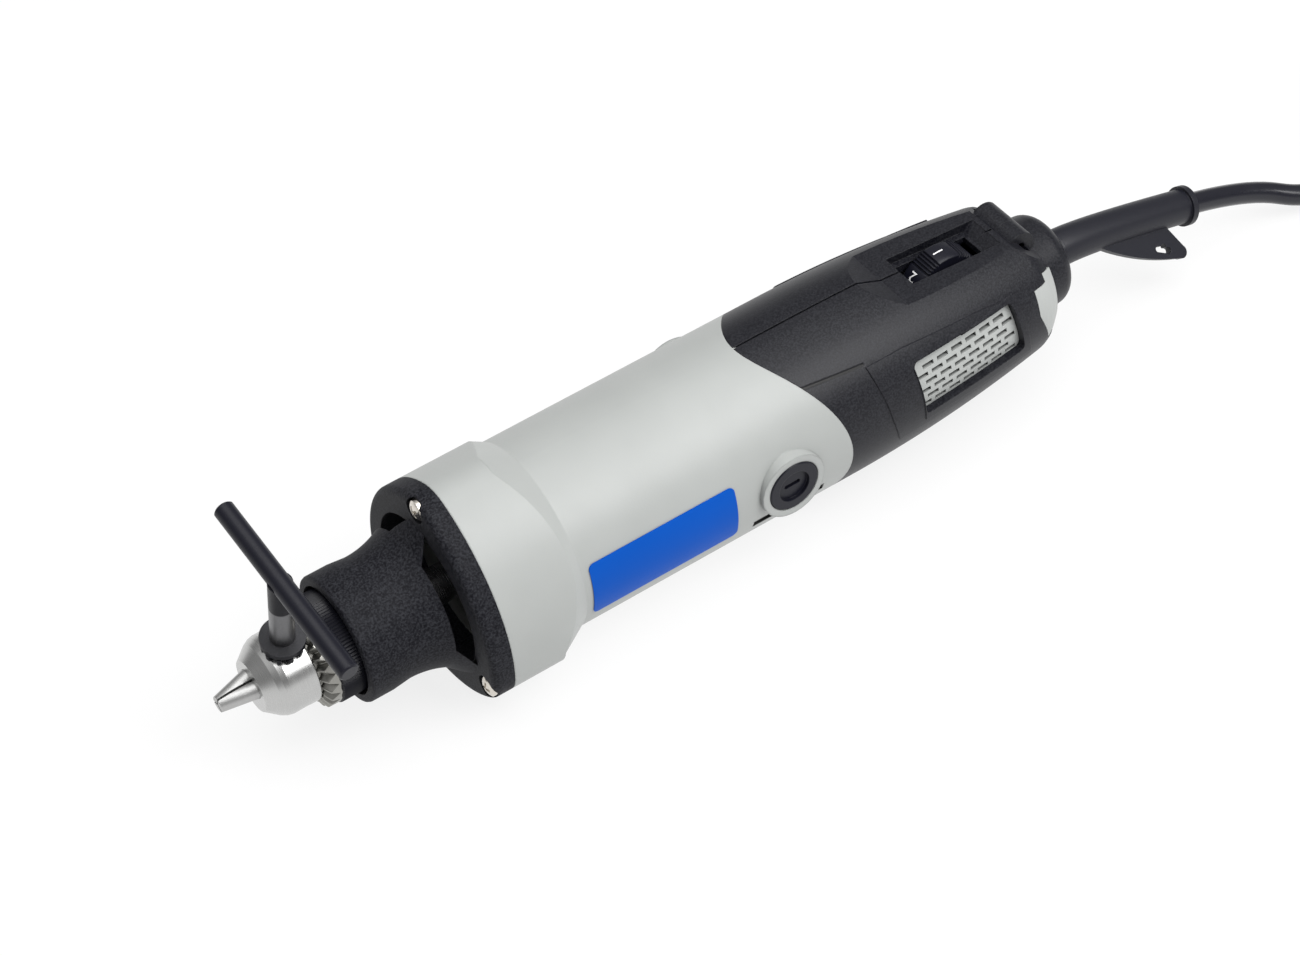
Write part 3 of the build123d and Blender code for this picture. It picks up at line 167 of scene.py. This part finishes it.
def moulded(
    name, colour, rough, grain, depth, strength=0.3, specks_and_glints=0.0, edge=0.3 * MM,
    lines=None, shade_reach=0.0, **constants,
):
    """Moulded plastic: grain in the bump and gloss, slow mottle in the colour, light specks on the grain,
    partly own grains and partly painted glints.

    Where lines are given they are painted near black as shade and sunk, and a reach paints shade over what
    lies deep in holes.
    """
    material, tree, shader = begin(name, **constants)
    spot = place(tree)
    fine = noise(tree, spot, grain, 2.0)
    slow = noise(tree, spot, 18 * MM, 2.0)
    tint = ramp(tree, slow, (0.3, shade(colour, 0.975)), (0.7, shade(colour, 1.025)))
    # Light specks on the grain's tops: partly the plastic's own light grains, partly painted glints that stand
    # for sparkle.
    if specks_and_glints:
        tops = remap(tree, fine, 0.38, 0.66, 0.0, specks_and_glints)
        tint = blended(tree, tops, tint, (0.31, 0.32, 0.36, 1))
    # Painted shade: the colour goes to near black deep in the piece's own holes and corners, within the reach.
    if shade_reach:
        tint = blended(tree, closed_in(tree, shade_reach), tint, (0.004, 0.004, 0.004, 1))
    height = fine
    if lines:
        mask = lines(tree)
        # Painted shade: near black blended into the colour along the lines, besides sinking the bump there.
        tint = blended(tree, mask, tint, (0.002, 0.002, 0.002, 1))
        height = maths(tree, "SUBTRACT", fine, maths(tree, "MULTIPLY", mask, 4.0))
    tree.links.new(tint, shader.inputs["Base Color"])
    gloss = remap(tree, fine, 0.3, 0.7, rough - 0.04, rough + 0.05)
    tree.links.new(gloss, shader.inputs["Roughness"])
    relief(tree, shader, height, strength, depth, edge)
    return material


def half_steel(name, steel, cover, low, high, direction):
    """Black-coated steel left bare between two heights along a direction, with turning marks across it."""
    material, tree, shader = begin(name, Specular_IOR_Level=0.1)
    height = along(tree, direction)
    bare = band(tree, height, low, high, 0.25 * MM)
    marks = noise(tree, place(tree), 0.5 * MM, 3.0)
    light = ramp(tree, marks, (0.3, shade(steel, 0.85)), (0.7, shade(steel, 1.1)))
    dark = ramp(tree, marks, (0.3, shade(cover, 0.85)), (0.7, shade(cover, 1.15)))
    tree.links.new(blended(tree, bare, dark, light), shader.inputs["Base Color"])
    tree.links.new(bare, shader.inputs["Metallic"])
    tree.links.new(remap(tree, marks, 0.3, 0.7, 0.30, 0.40), shader.inputs["Roughness"])
    relief(tree, shader, marks, 0.2, 0.02 * MM, 0.2 * MM)
    return material


def turned(name, colour, rough, mark=0.12 * MM, depth=0.002 * MM, edge=0.15 * MM, shade_reach=0.0, bump=0.05):
    """Turned metal: fine rings across X in the gloss, bump and colour, slow clouding, painted shade in
    corners.
    """
    material, tree, shader = begin(name, Metallic=1.0)
    rings = noise(tree, place(tree, (1, 0.02, 0.02)), mark, 3.0)
    cloud = noise(tree, place(tree), 4 * MM, 3.0)
    mixed = maths(tree, "MULTIPLY_ADD", cloud, 0.5)
    tree.links.new(rings, mixed.node.inputs[2])
    tint = ramp(tree, mixed, (0.5, shade(colour, 0.93)), (1.0, shade(colour, 1.05)))
    # Painted shade: the colour goes dark deep in the piece's own corners and grooves, within the reach.
    if shade_reach:
        tint = blended(tree, closed_in(tree, shade_reach), tint, (0.02, 0.02, 0.018, 1))
    tree.links.new(tint, shader.inputs["Base Color"])
    tree.links.new(remap(tree, mixed, 0.45, 1.05, rough - 0.03, rough + 0.04), shader.inputs["Roughness"])
    relief(tree, shader, rings, bump, depth, edge)
    return material


grey = (0.372, 0.385, 0.375)
black = (0.0065, 0.0068, 0.0125)
coarse_black = (0.0015, 0.0016, 0.0065)
dull = {"Specular_IOR_Level": 0.25}
key_out = (0.0, float(np.cos(key_angle)), float(np.sin(key_angle)))
# Where a reach is given, shade is painted deep in the piece's holes: the barrel's bore, the grille's slots,
# the nose's inside and the chuck ring's grooves.
looks = {
    "barrel_grey": moulded(
        "barrel_grey", grey, 0.42, 0.5 * MM, 0.05 * MM, 0.25, edge=0.8 * MM, shade_reach=60 * MM
    ),
    "grille_grey": moulded(
        "grille_grey", shade(grey, 1.07), 0.45, 0.5 * MM, 0.05 * MM, 0.2, edge=0.12 * MM, shade_reach=2.5 * MM
    ),
    "shell_black": moulded(
        "shell_black", shade(coarse_black, 0.6), 0.42, 0.5 * MM, 0.08 * MM, 0.45, 0.05, lines=shell_crease,
        Specular_IOR_Level=0.3,
    ),
    "cap_black": moulded("cap_black", black, 0.36, 0.5 * MM, 0.03 * MM, 0.2, **dull),
    "nose_black": moulded(
        "nose_black", shade(coarse_black, 0.5), 0.62, 0.55 * MM, 0.12 * MM, 0.6, 0.08, shade_reach=25 * MM,
        Specular_IOR_Level=0.16,
    ),
    "boot_rubber": moulded("boot_rubber", black, 0.42, 0.6 * MM, 0.03 * MM, 0.2, Specular_IOR_Level=0.4),
    "cord_black": moulded("cord_black", black, 0.22, 7 * MM, 0.02 * MM, 0.1, edge=0),
    "tie_black": moulded("tie_black", black, 0.38, 0.4 * MM, 0.02 * MM, 0.2, **dull),
    "grip_black": moulded("grip_black", shade(black, 0.7), 0.34, 0.4 * MM, 0.03 * MM, 0.2, edge=0, **dull),
    "inner_plastic": moulded("inner_plastic", (0.10, 0.10, 0.11), 0.45, 0.4 * MM, 0.03 * MM),
    "board_green": moulded("board_green", (0.05, 0.20, 0.07), 0.3, 0.8 * MM, 0.02 * MM),
    "carbon": moulded("carbon", (0.03, 0.03, 0.03), 0.6, 0.25 * MM, 0.03 * MM),
    "key_black": moulded("key_black", black, 0.36, 0.5 * MM, 0.03 * MM, 0.2, **dull),
    "label_blue": moulded(
        "label_blue", (0.0, 0.078, 0.44), 0.38, 0.8 * MM, 0.01 * MM, 0.1, edge=0.05 * MM,
        Specular_IOR_Level=0.08,
    ),
    "digit_white": moulded("digit_white", (0.85, 0.85, 0.85), 0.5, 0.3 * MM, 0.01 * MM, 0.1, edge=0),
    "key_stem": half_steel("key_stem", (0.15, 0.15, 0.155), shade(black, 0.6), 15.5 * MM, 29.8 * MM, key_out),
    "chuck_steel": turned("chuck_steel", (0.50, 0.50, 0.495), 0.26, bump=0.015),
    "jaw_steel": turned("jaw_steel", (0.46, 0.46, 0.455), 0.42),
    "ring_steel": turned("ring_steel", (0.30, 0.295, 0.275), 0.34, edge=0, shade_reach=1.6 * MM),
    "screw_nickel": turned("screw_nickel", (0.68, 0.64, 0.58), 0.2, edge=0),
    "shaft_steel": turned("shaft_steel", (0.55, 0.55, 0.56), 0.25),
    "core_steel": turned("core_steel", (0.25, 0.25, 0.27), 0.4, 0.5 * MM, 0.05 * MM),
    "copper": turned("copper", (0.62, 0.27, 0.12), 0.3, 0.6 * MM, 0.05 * MM),
    "brass": turned("brass", (0.70, 0.52, 0.22), 0.25),
    "spring_steel": turned("spring_steel", (0.45, 0.45, 0.47), 0.28),
}

wears = {
    "barrel_grey": ["motor_housing"],
    "grille_grey": ["grille_left", "grille_right", "trim_left", "trim_right"],
    "shell_black": ["rear_shell_left", "rear_shell_right"],
    "cap_black": ["speed_dial", "brush_cap_left", "brush_cap_right", "cooling_fan"],
    "nose_black": ["nose_cone"],
    "label_blue": ["label_plate"],
    "chuck_steel": ["chuck_body"],
    "jaw_steel": ["jaw_1", "jaw_2", "jaw_3"],
    "ring_steel": ["chuck_sleeve"],
    "key_black": ["key_handle", "key_pilot"],
    "key_stem": ["key_shaft"],
    "screw_nickel": ["nose_screws", "shell_screws", "clamp_screws"],
    "shaft_steel": [
        "armature_shaft", "front_bearing_outer", "front_bearing_inner", "front_bearing_balls",
        "rear_bearing_outer", "rear_bearing_inner", "rear_bearing_balls", "dial_shaft",
    ],
    "core_steel": ["armature_core", "stator_core"],
    "copper": ["armature_windings", "field_coils", "commutator"],
    "inner_plastic": [
        "rear_bearing_bracket", "potentiometer", "terminal_block", "capacitor", "triac",
        "cord_clamp",
    ],
    "brass": ["brush_holder_left", "brush_holder_right", "plug_pins"],
    "spring_steel": ["brush_spring_left", "brush_spring_right"],
    "carbon": ["carbon_brush_left", "carbon_brush_right"],
    "board_green": ["speed_board"],
    "boot_rubber": ["cable_boot"],
    "cord_black": ["inner_cord", "plug_body", "cable_tie", "cord_run", "cord_coil"],
}
for look, names in wears.items():
    for name in names:
        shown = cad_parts[name]
        if shown.material_slots:
            for held in shown.material_slots:
                held.material = looks[look]
        else:
            shown.data.materials.append(looks[look])


def surface(name, grids, look, body, sharp=40):
    """Piece from point grids: quads join each point to the next row and column, equal points merge."""
    mesh = bpy.data.meshes.new(name)
    points = [grid.reshape(-1, 3) for grid in grids]
    starts = np.cumsum([0] + [len(part) for part in points])
    quads = []
    for grid, start in zip(grids, starts):
        index = start + np.arange(grid.shape[0] * grid.shape[1]).reshape(grid.shape[:2])
        corners = (index[:-1, :-1], index[1:, :-1], index[1:, 1:], index[:-1, 1:])
        quads.append(np.stack(corners, axis=-1).reshape(-1, 4))
    mesh.from_pydata(np.concatenate(points).tolist(), [], np.concatenate(quads).tolist())
    work = bmesh.new()
    work.from_mesh(mesh)
    bmesh.ops.remove_doubles(work, verts=work.verts, dist=1e-7)
    bmesh.ops.dissolve_degenerate(work, edges=work.edges, dist=1e-8)
    bmesh.ops.recalc_face_normals(work, faces=work.faces)
    work.to_mesh(mesh)
    work.free()
    mesh.polygons.foreach_set("use_smooth", np.ones(len(mesh.polygons), bool))
    mesh.set_sharp_from_angle(angle=math.radians(sharp))
    mesh.materials.append(looks[look])
    piece = bpy.data.objects.new(name, mesh)
    bpy.context.scene.collection.objects.link(piece)
    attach(piece, body)
    return piece


def spun(x, radius, angle):
    """Points at a station and a radius round the spindle, the angle going from Y towards Z."""
    x, radius, angle = np.broadcast_arrays(x, radius, angle)
    return np.stack([x, radius * np.cos(angle), radius * np.sin(angle)], axis=-1)


def toothed_ring(teeth=25):
    """Chuck ring's half section carried round the spindle, its front sunk in one V groove for each space.

    The groove is deepest at the middle of a space, comes up in straight lines to the tooth's flat top, and
    grows deeper with the radius; the outer wall runs from the grooved front back to the ring's rear edge.
    """
    angle = np.linspace(0, TURN, 24 * teeth + 1)[None, :]
    pitch = TURN / teeth
    off_space = np.abs((angle - key_angle + pitch / 2) % pitch - pitch / 2) / pitch
    groove = np.clip(1 - off_space / 0.42, 0, 1)
    front_r = np.array([9.3, 10.1, 10.2, 11.36, 12.4, 13.35])[:, None] * MM
    front_x = np.array([-23.0, -23.0, -23.0, -23.0, -23.46, -23.87])[:, None] * MM
    depth = np.array([0, 0, 0.8, 1.4, 1.9, 2.4])[:, None] * MM
    front = spun(front_x - depth * groove, front_r, angle)
    rim_x = -23.94 * MM - 2.4 * MM * groove
    share = np.array([0.05, 0.3, 0.6, 0.9])[:, None]
    wall = spun(rim_x + share * (-26.9 * MM - rim_x), 13.5 * MM, angle)
    back_x = np.array([-26.9, -26.9, -23.0])[:, None] * MM
    back_r = np.array([13.2, 9.3, 9.3])[:, None] * MM
    return np.concatenate([front, wall, spun(back_x, back_r, angle)])


def knurled_grip(ridges=96):
    """Rear of the chuck sleeve: a plain section carried round, its outer radius cut by ridges along X."""
    angle = np.linspace(0, TURN, 8 * ridges + 1)[None, :]
    ridge = np.abs((angle * ridges / TURN) % 1 - 0.5) * 2
    x = np.array([-26.9, -26.9, -27.3, -32.0, -37.6, -38.0, -38.0, -26.9])[:, None] * MM
    radius = np.array([9.3, 13.3, 13.9, 13.9, 13.9, 13.3, 9.3, 9.3])[:, None] * MM
    cut = np.array([0, 0, 0.35, 0.35, 0.35, 0, 0, 0])[:, None] * MM
    return spun(x, radius - cut * ridge, angle)


def dial_wheel(digits=6):
    """Speed dial: a rounded half section carried round the dial's own axis, with ribs cut across the rim.

    The rim sinks in five narrow grooves midway between each two numbers.
    """
    angle = np.linspace(0, TURN, 721)[None, :]
    across = np.array([-3.5, -3.5, -3.4, -3.0, -2.5, 0, 2.5, 3.0, 3.4, 3.5, 3.5, -3.5])[:, None] * MM
    radius = np.array([3.0, 9.9, 10.5, 10.85, 11, 11, 11, 10.85, 10.5, 9.9, 3.0, 3.0])[:, None] * MM
    cut = np.array([0, 0.2, 0.5, 0.6, 0.6, 0.6, 0.6, 0.6, 0.5, 0.2, 0, 0])[:, None] * MM
    middles = number_step * (np.arange(digits + 1) + 0.5)
    lines = (middles[:, None] + np.radians([-10.4, -5.2, 0, 5.2, 10.4])).ravel()
    away = np.abs((angle[..., None] - lines + np.pi) % TURN - np.pi).min(axis=-1)
    groove = np.clip(1.6 - away / np.radians(1.1), 0, 1)
    radius = radius - cut * groove
    across = np.broadcast_to(across, radius.shape)
    return np.stack([dial_x + radius * np.sin(angle), across, dial_z + radius * np.cos(angle)], axis=-1)


def screw_head(seat, right, up, radius, height, turn):
    """Pan head: a dome over a disc, falling with a power of the distance, sunk by a sloping cross."""
    angle = np.linspace(0, TURN, 121)[None, :]
    away = np.append(np.linspace(0, 1, 34), 1.0)[:, None] * radius
    a, b = away * np.cos(angle - turn), away * np.sin(angle - turn)
    reach, half = 0.58 * radius, 0.14 * radius
    first = np.clip((half - np.abs(b)) / (0.3 * half), 0, 1) * np.clip((reach - np.abs(a)) / half, 0, 1)
    second = np.clip((half - np.abs(a)) / (0.3 * half), 0, 1) * np.clip((reach - np.abs(b)) / half, 0, 1)
    top = height * (1 - 0.45 * (away / radius) ** 2.4) - 0.55 * height * np.maximum(first, second)
    top[-1] = 0
    right, up = np.array(right, float), np.array(up, float)
    flat = away[..., None] * (np.cos(angle)[..., None] * right + np.sin(angle)[..., None] * up)
    head = np.array(seat) + flat + top[..., None] * np.cross(right, up)
    return np.concatenate([head, np.broadcast_to(np.array(seat), head[:1].shape)])


def label_patch():
    """Label on the barrel: rows at equal steps round it, each row's half length eased by the corner's arc.

    Each row goes out along the outer face and back along the inner one, and the end rows close up flat.
    """
    corner, straight = label_corner, label_half_width - label_corner
    eased = straight + corner * np.sin(np.linspace(0, np.pi / 2, 9))
    side = np.concatenate([-eased[::-1], np.linspace(-straight, straight, 24)[1:-1], eased])
    side = np.concatenate([side[:1], side, side[-1:]])[:, None]
    over = np.clip(np.abs(side) - straight, 0, corner)
    length = label_half_length - corner + np.sqrt(corner ** 2 - over ** 2)
    share = np.concatenate([np.linspace(-1, 1, 25), np.linspace(1, -1, 25), [-1.0]])[None, :]
    radius = np.concatenate([np.full(25, label_outer_r), np.full(25, label_inner_r), [label_outer_r]])[None, :]
    radius = np.repeat(radius, len(side), axis=0)
    radius[0] = radius[-1] = label_inner_r
    return spun(label_x + length * share, radius, side / label_outer_r)


ring = surface("chuck_ring", [toothed_ring()], "ring_steel", "sleeve", 25)
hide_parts("chuck_sleeve")
surface("sleeve_grip", [knurled_grip()], "grip_black", "sleeve", 25)
dial = surface("dial_wheel", [dial_wheel()], "cap_black", "dial", 35)
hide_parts("speed_dial")
label = surface("barrel_label", [label_patch()], "label_blue", "housing", 50)
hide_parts("label_plate")

nose_heads = [
    screw_head(
        spun(nose_seat_x, nose_screw_circle_r, lobe), (0, 1, 0), (0, 0, 1), screw_head_r, nose_head_height,
        lobe + 0.6,
    )
    for lobe in np.radians([90, 210, 330])
]
nose_screws = surface("nose_screw_heads", nose_heads, "screw_nickel", "housing", 30)
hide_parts("nose_screws")
shell_heads = [
    screw_head((shell_seat_x, shell_seat_y, z), (1, 0, 0), (0, 0, 1), screw_head_r, shell_head_height, 0.5)
    for z in (shell_screw_z, -shell_screw_z)
]
shell_screws = surface("shell_screw_heads", shell_heads, "screw_nickel", "housing", 30)
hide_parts("shell_screws")


def dial_number(figure, angle):
    """One number on the dial's rim: the flat figure's height goes round the rim and its width across it."""
    line = bpy.data.curves.new(f"number_{figure}", "FONT")
    line.body = str(figure)
    line.size = number_size
    line.extrude = number_rise
    line.align_x, line.align_y = "CENTER", "CENTER"
    line.resolution_u = 3
    holder = bpy.data.objects.new(f"number_{figure}", line)
    mesh = bpy.data.meshes.new_from_object(holder)
    bpy.data.objects.remove(holder)
    work = bmesh.new()
    work.from_mesh(mesh)
    bmesh.ops.triangulate(work, faces=work.faces)
    bmesh.ops.subdivide_edges(work, edges=work.edges, cuts=3, use_grid_fill=True)
    work.to_mesh(mesh)
    work.free()
    flat = np.empty(3 * len(mesh.vertices))
    mesh.vertices.foreach_get("co", flat)
    wide, tall, out = flat.reshape(-1, 3).T * MM
    radius, spot = dial_r + out, angle + tall / dial_r
    points = np.stack([dial_x + radius * np.sin(spot), -wide, dial_z + radius * np.cos(spot)], axis=-1)
    mesh.vertices.foreach_set("co", points.ravel())
    mesh.update()
    mesh.materials.clear()
    mesh.materials.append(looks["digit_white"])
    piece = bpy.data.objects.new(f"dial_number_{figure}", mesh)
    bpy.context.scene.collection.objects.link(piece)
    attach(piece, "dial")


for figure in range(1, 7):
    dial_number(figure, number_step * (figure - 1))

# Cord, in millimetres: the route out of the boot, then the put-away coil and the plug's tail on one spline
low_z, high_z = -23.6, -17.1
route = [
    (-303.3, 0, -9.9), (-325.1, 0, -15.85), (-343.1, 9.0, low_z), (-362.9, 7.9, low_z), (-376.69, -3.67, low_z)
]
coil_x, coil_y = -411.27, 28.21
half_turn_r = [46.65, 43.4, 40.15, 36.9, 33.65, 30.4, 27.15, 22.7, 22.7]
half_turn_r += [27.15, 30.4, 33.65, 36.9, 40.15, 43.4, 46.3, 49.9]
tail_x, tail_y, tail_z, tail_r = coil_x + 15.36, coil_y - 18.31, -10.1, 26.0
plug_start = np.array([coil_x - 11.28, coil_y - 16.92, tail_z])
plug_ahead = np.array([-0.173648, 0.984808, 0.0])
coil_start = np.radians(-50)
coil_step = 30


def coil_points():
    """Spiral in on the lower layer and out on the upper: radius and level go with the half turns passed.

    Points stand one step apart on the polygon drawn round the spiral, whose sides touch it.
    """
    passed = np.arange(coil_step / 2, 180 * (len(half_turn_r) - 1), coil_step) / 180
    radius = np.interp(passed, np.arange(len(half_turn_r)), half_turn_r) / np.cos(np.radians(coil_step / 2))
    level = np.interp(passed, [7, 8, 15, 16], [low_z, high_z, high_z, tail_z])
    angle = coil_start - np.pi * passed
    return np.stack([coil_x + radius * np.cos(angle), coil_y + radius * np.sin(angle), level], axis=-1)


def tail_points():
    """Bend of one radius that carries the coil's end round to the plug, by the same rule as the coil."""
    angle = coil_start - np.radians(coil_step * (np.arange(4) + 0.5))
    radius = tail_r / np.cos(np.radians(coil_step / 2))
    level = np.full(len(angle), tail_z)
    return np.stack([tail_x + radius * np.cos(angle), tail_y + radius * np.sin(angle), level], axis=-1)


cord_points = np.concatenate([np.array(route), coil_points(), tail_points(), [plug_start]]) * MM
cord_line = bpy.data.curves.new("mains_cord", "CURVE")
cord_line.dimensions = "3D"
spline = cord_line.splines.new("NURBS")
spline.points.add(len(cord_points) - 1)
spline.points.foreach_set("co", np.c_[cord_points, np.ones(len(cord_points))].ravel())
spline.order_u = 3
spline.use_endpoint_u = True
spline.resolution_u = 10
cord_line.bevel_depth = cable_r
cord_line.bevel_resolution = 5
cord_line.use_fill_caps = True
cord_line.materials.append(looks["cord_black"])
cord = bpy.data.objects.new("mains_cord", cord_line)
bpy.context.scene.collection.objects.link(cord)
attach(cord, "housing")
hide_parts("cord_run", "cord_coil")


def squared_off(value, power):
    """Cosine or sine raised to a power with its sign kept, which squares a round form off."""
    return np.sign(value) * np.abs(value) ** power


def plug_shell():
    """Moulded plug: rounded oblong sections along its line, a ribbed sleeve first and then the flat body.

    Half width, half height and lift go with the distance along it; rings are sunk in the sleeve and finger
    grooves in the body's two edges.
    """
    sleeve, body = np.linspace(0.01, 13.9, 57), np.linspace(14.1, 43, 80)
    along_plug = np.concatenate([[0, 0], sleeve, [14], body, [43.6, 44, 44]])
    stops = [0, 14, 14.1, 16, 21, 27, 43, 43.6, 44]
    wide = np.interp(along_plug, stops, [3.8, 5.2, 8.5, 11.5, 14.4, 15.5, 15.5, 15.2, 14.5])
    tall = np.interp(along_plug, stops, [3.8, 5.2, 5.6, 6.3, 6.7, 6.8, 6.8, 6.5, 5.8])
    lift = np.interp(along_plug, [0, 14, 14.1], [0, 2.45, 3.85])
    on_sleeve, on_grip = (along_plug > 2) & (along_plug < 12.4), (along_plug > 28) & (along_plug < 39)
    ringed = 0.55 * np.clip(np.sin(TURN * (along_plug - 2) / 2.6), 0, 1) * on_sleeve
    grip = 0.7 * np.clip(np.sin(TURN * (along_plug - 28) / 2.8), 0, 1) * on_grip
    round_off = np.interp(along_plug, [13.9, 15], [1.0, 0.5])[:, None]
    angle = np.linspace(0, TURN, 73)[None, :]
    across, over = squared_off(np.cos(angle), round_off), squared_off(np.sin(angle), round_off)
    wide = wide[:, None] - ringed[:, None] - grip[:, None]
    tall = tall[:, None] - ringed[:, None]
    wide[[0, -1]] = tall[[0, -1]] = 0
    side = np.cross([0, 0, 1], plug_ahead)
    rise = (lift[:, None] + tall * over)[..., None] * np.array([0, 0, 1])
    middle = plug_start + along_plug[:, None, None] * plug_ahead
    return (middle + (wide * across)[..., None] * side + rise) * MM


tie_x, tie_z = coil_x - 34.775, (low_z + high_z) / 2
tie_half_x, tie_half_z = 15.025, 6.75
tie_head_x = coil_x - 17.57


def tie_band():
    """Cable tie: a thin strap section carried round a rounded oblong, its outer face cut by fine teeth."""
    way = np.linspace(0, TURN, 361)[:, None]
    bend_x, bend_z = squared_off(np.cos(way), 0.25), squared_off(np.sin(way), 0.25)
    teeth = 0.12 * (np.arange(361)[:, None] % 3 == 1)
    grow = np.array([-0.35, -0.35, 0.28, 0.35, 0.35, 0.28, -0.35])[None, :]
    grow = grow - teeth * np.array([0, 0, 0, 1, 1, 0, 0])[None, :]
    across = np.array([-1.9, 1.9, 2.0, 1.6, -1.6, -2.0, -1.9])[None, :]
    x, z = tie_x + (tie_half_x + grow) * bend_x, tie_z + (tie_half_z + grow) * bend_z
    return np.stack([x, np.broadcast_to(coil_y + across, x.shape), z], axis=-1) * MM


def tie_head():
    """Tie's lock: a rounded block, the sphere's coordinates squared off."""
    turn, tilt = np.linspace(0, TURN, 49)[None, :], np.linspace(-np.pi / 2, np.pi / 2, 25)[:, None]
    level = squared_off(np.cos(tilt), 0.35)
    x = tie_head_x + 1.8 * level * squared_off(np.cos(turn), 0.35)
    y = coil_y + 2.7 * level * squared_off(np.sin(turn), 0.35)
    z = np.broadcast_to(tie_z + 2.6 * squared_off(np.sin(tilt), 0.35), x.shape)
    return np.stack([x, y, z], axis=-1) * MM


plug = surface("plug_shell", [plug_shell()], "cord_black", "housing", 45)
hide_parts("plug_body")
tie = surface("cord_tie", [tie_band(), tie_head()], "tie_black", "housing", 40)
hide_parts("cable_tie")

# Floor, light and camera
floor_half = 20.0
corners = np.array([[[-1, -1, 0], [-1, 1, 0]], [[1, -1, 0], [1, 1, 0]]]) * floor_half
floor_mesh = bpy.data.meshes.new("studio_floor")
floor_mesh.from_pydata((corners.reshape(-1, 3) + [0, 0, floor_z]).tolist(), [], [(0, 2, 3, 1)])
floor_look, floor_tree, floor_shader = begin(
    "floor_white", Roughness=0.9, Specular_IOR_Level=0.0, Emission_Color=(1, 1, 1, 1), Emission_Strength=0.82
)
floor_cloud = noise(floor_tree, place(floor_tree), 0.6)
floor_tint = ramp(floor_tree, floor_cloud, (0.3, (0.15,) * 3), (0.7, (0.16,) * 3))
floor_tree.links.new(floor_tint, floor_shader.inputs["Base Color"])
floor_mesh.materials.append(floor_look)
floor = bpy.data.objects.new("studio_floor", floor_mesh)
bpy.context.scene.collection.objects.link(floor)

world = bpy.data.worlds.new("studio")
bpy.context.scene.world = world
world.use_nodes = True
air = world.node_tree
sky = air.nodes["Background"]
heading = node(air, "ShaderNodeTexCoord").outputs["Generated"]
up = node(air, "ShaderNodeSeparateXYZ", {0: heading}).outputs[2]
brightness = ((0.0, 0.6), (0.08, 0.6), (0.28, 0.24), (0.6, 0.4), (0.9, 1.0))
glow = ramp(air, up, *[(height, (level,) * 3) for height, level in brightness])
air.links.new(glow, sky.inputs["Color"])
sky.inputs["Strength"].default_value = 1.0


def soft_light(name, spot, target, size, power):
    """Square soft light at a spot, aimed at a target."""
    lamp = bpy.data.lights.new(name, "AREA")
    lamp.shape = "SQUARE"
    lamp.size = size
    lamp.energy = power
    holder = bpy.data.objects.new(name, lamp)
    aim = np.array(target) - np.array(spot)
    holder.matrix_world = Matrix.Translation(spot) @ to_track(aim)
    bpy.context.scene.collection.objects.link(holder)


def to_track(aim):
    """Turn that points an object's own minus Z along a direction."""
    return Vector(aim).to_track_quat("-Z", "Y").to_matrix().to_4x4()


soft_light("top_box", (-0.15, 0.1, 1.3), (-0.15, 0, 0), 1.1, 8.0)
soft_light("key_box", (-0.62, 0.77, 0.94), (-0.15, 0, 0), 0.8, 11.0)

photo_width, photo_height = 1300, 956
lens_pixels = 3500.0
optic_row = 433.0
view_right = (-0.82156568, 0.56589536, -0.06922618)
view_down = (0.44294193, 0.55713396, -0.70242736)
view_ahead = (-0.35893213, -0.60775339, -0.70838093)
camera_spot = (0.1874053, 0.5329544, 0.6336769)
lens = bpy.data.cameras.new("photo_view")
lens.sensor_fit = "HORIZONTAL"
lens.sensor_width = 36.0
lens.lens = lens.sensor_width * lens_pixels / photo_width
lens.shift_y = (optic_row - photo_height / 2) / photo_width
lens.clip_start, lens.clip_end = 0.01, 100.0
camera = bpy.data.objects.new("photo_view", lens)
turn = np.stack([view_right, -np.array(view_down), -np.array(view_ahead)], axis=1)
camera.matrix_world = Matrix.Translation(camera_spot) @ Matrix(turn.tolist()).to_4x4()
bpy.context.scene.collection.objects.link(camera)
bpy.context.scene.camera = camera
bpy.context.scene.view_settings.view_transform = "Standard"
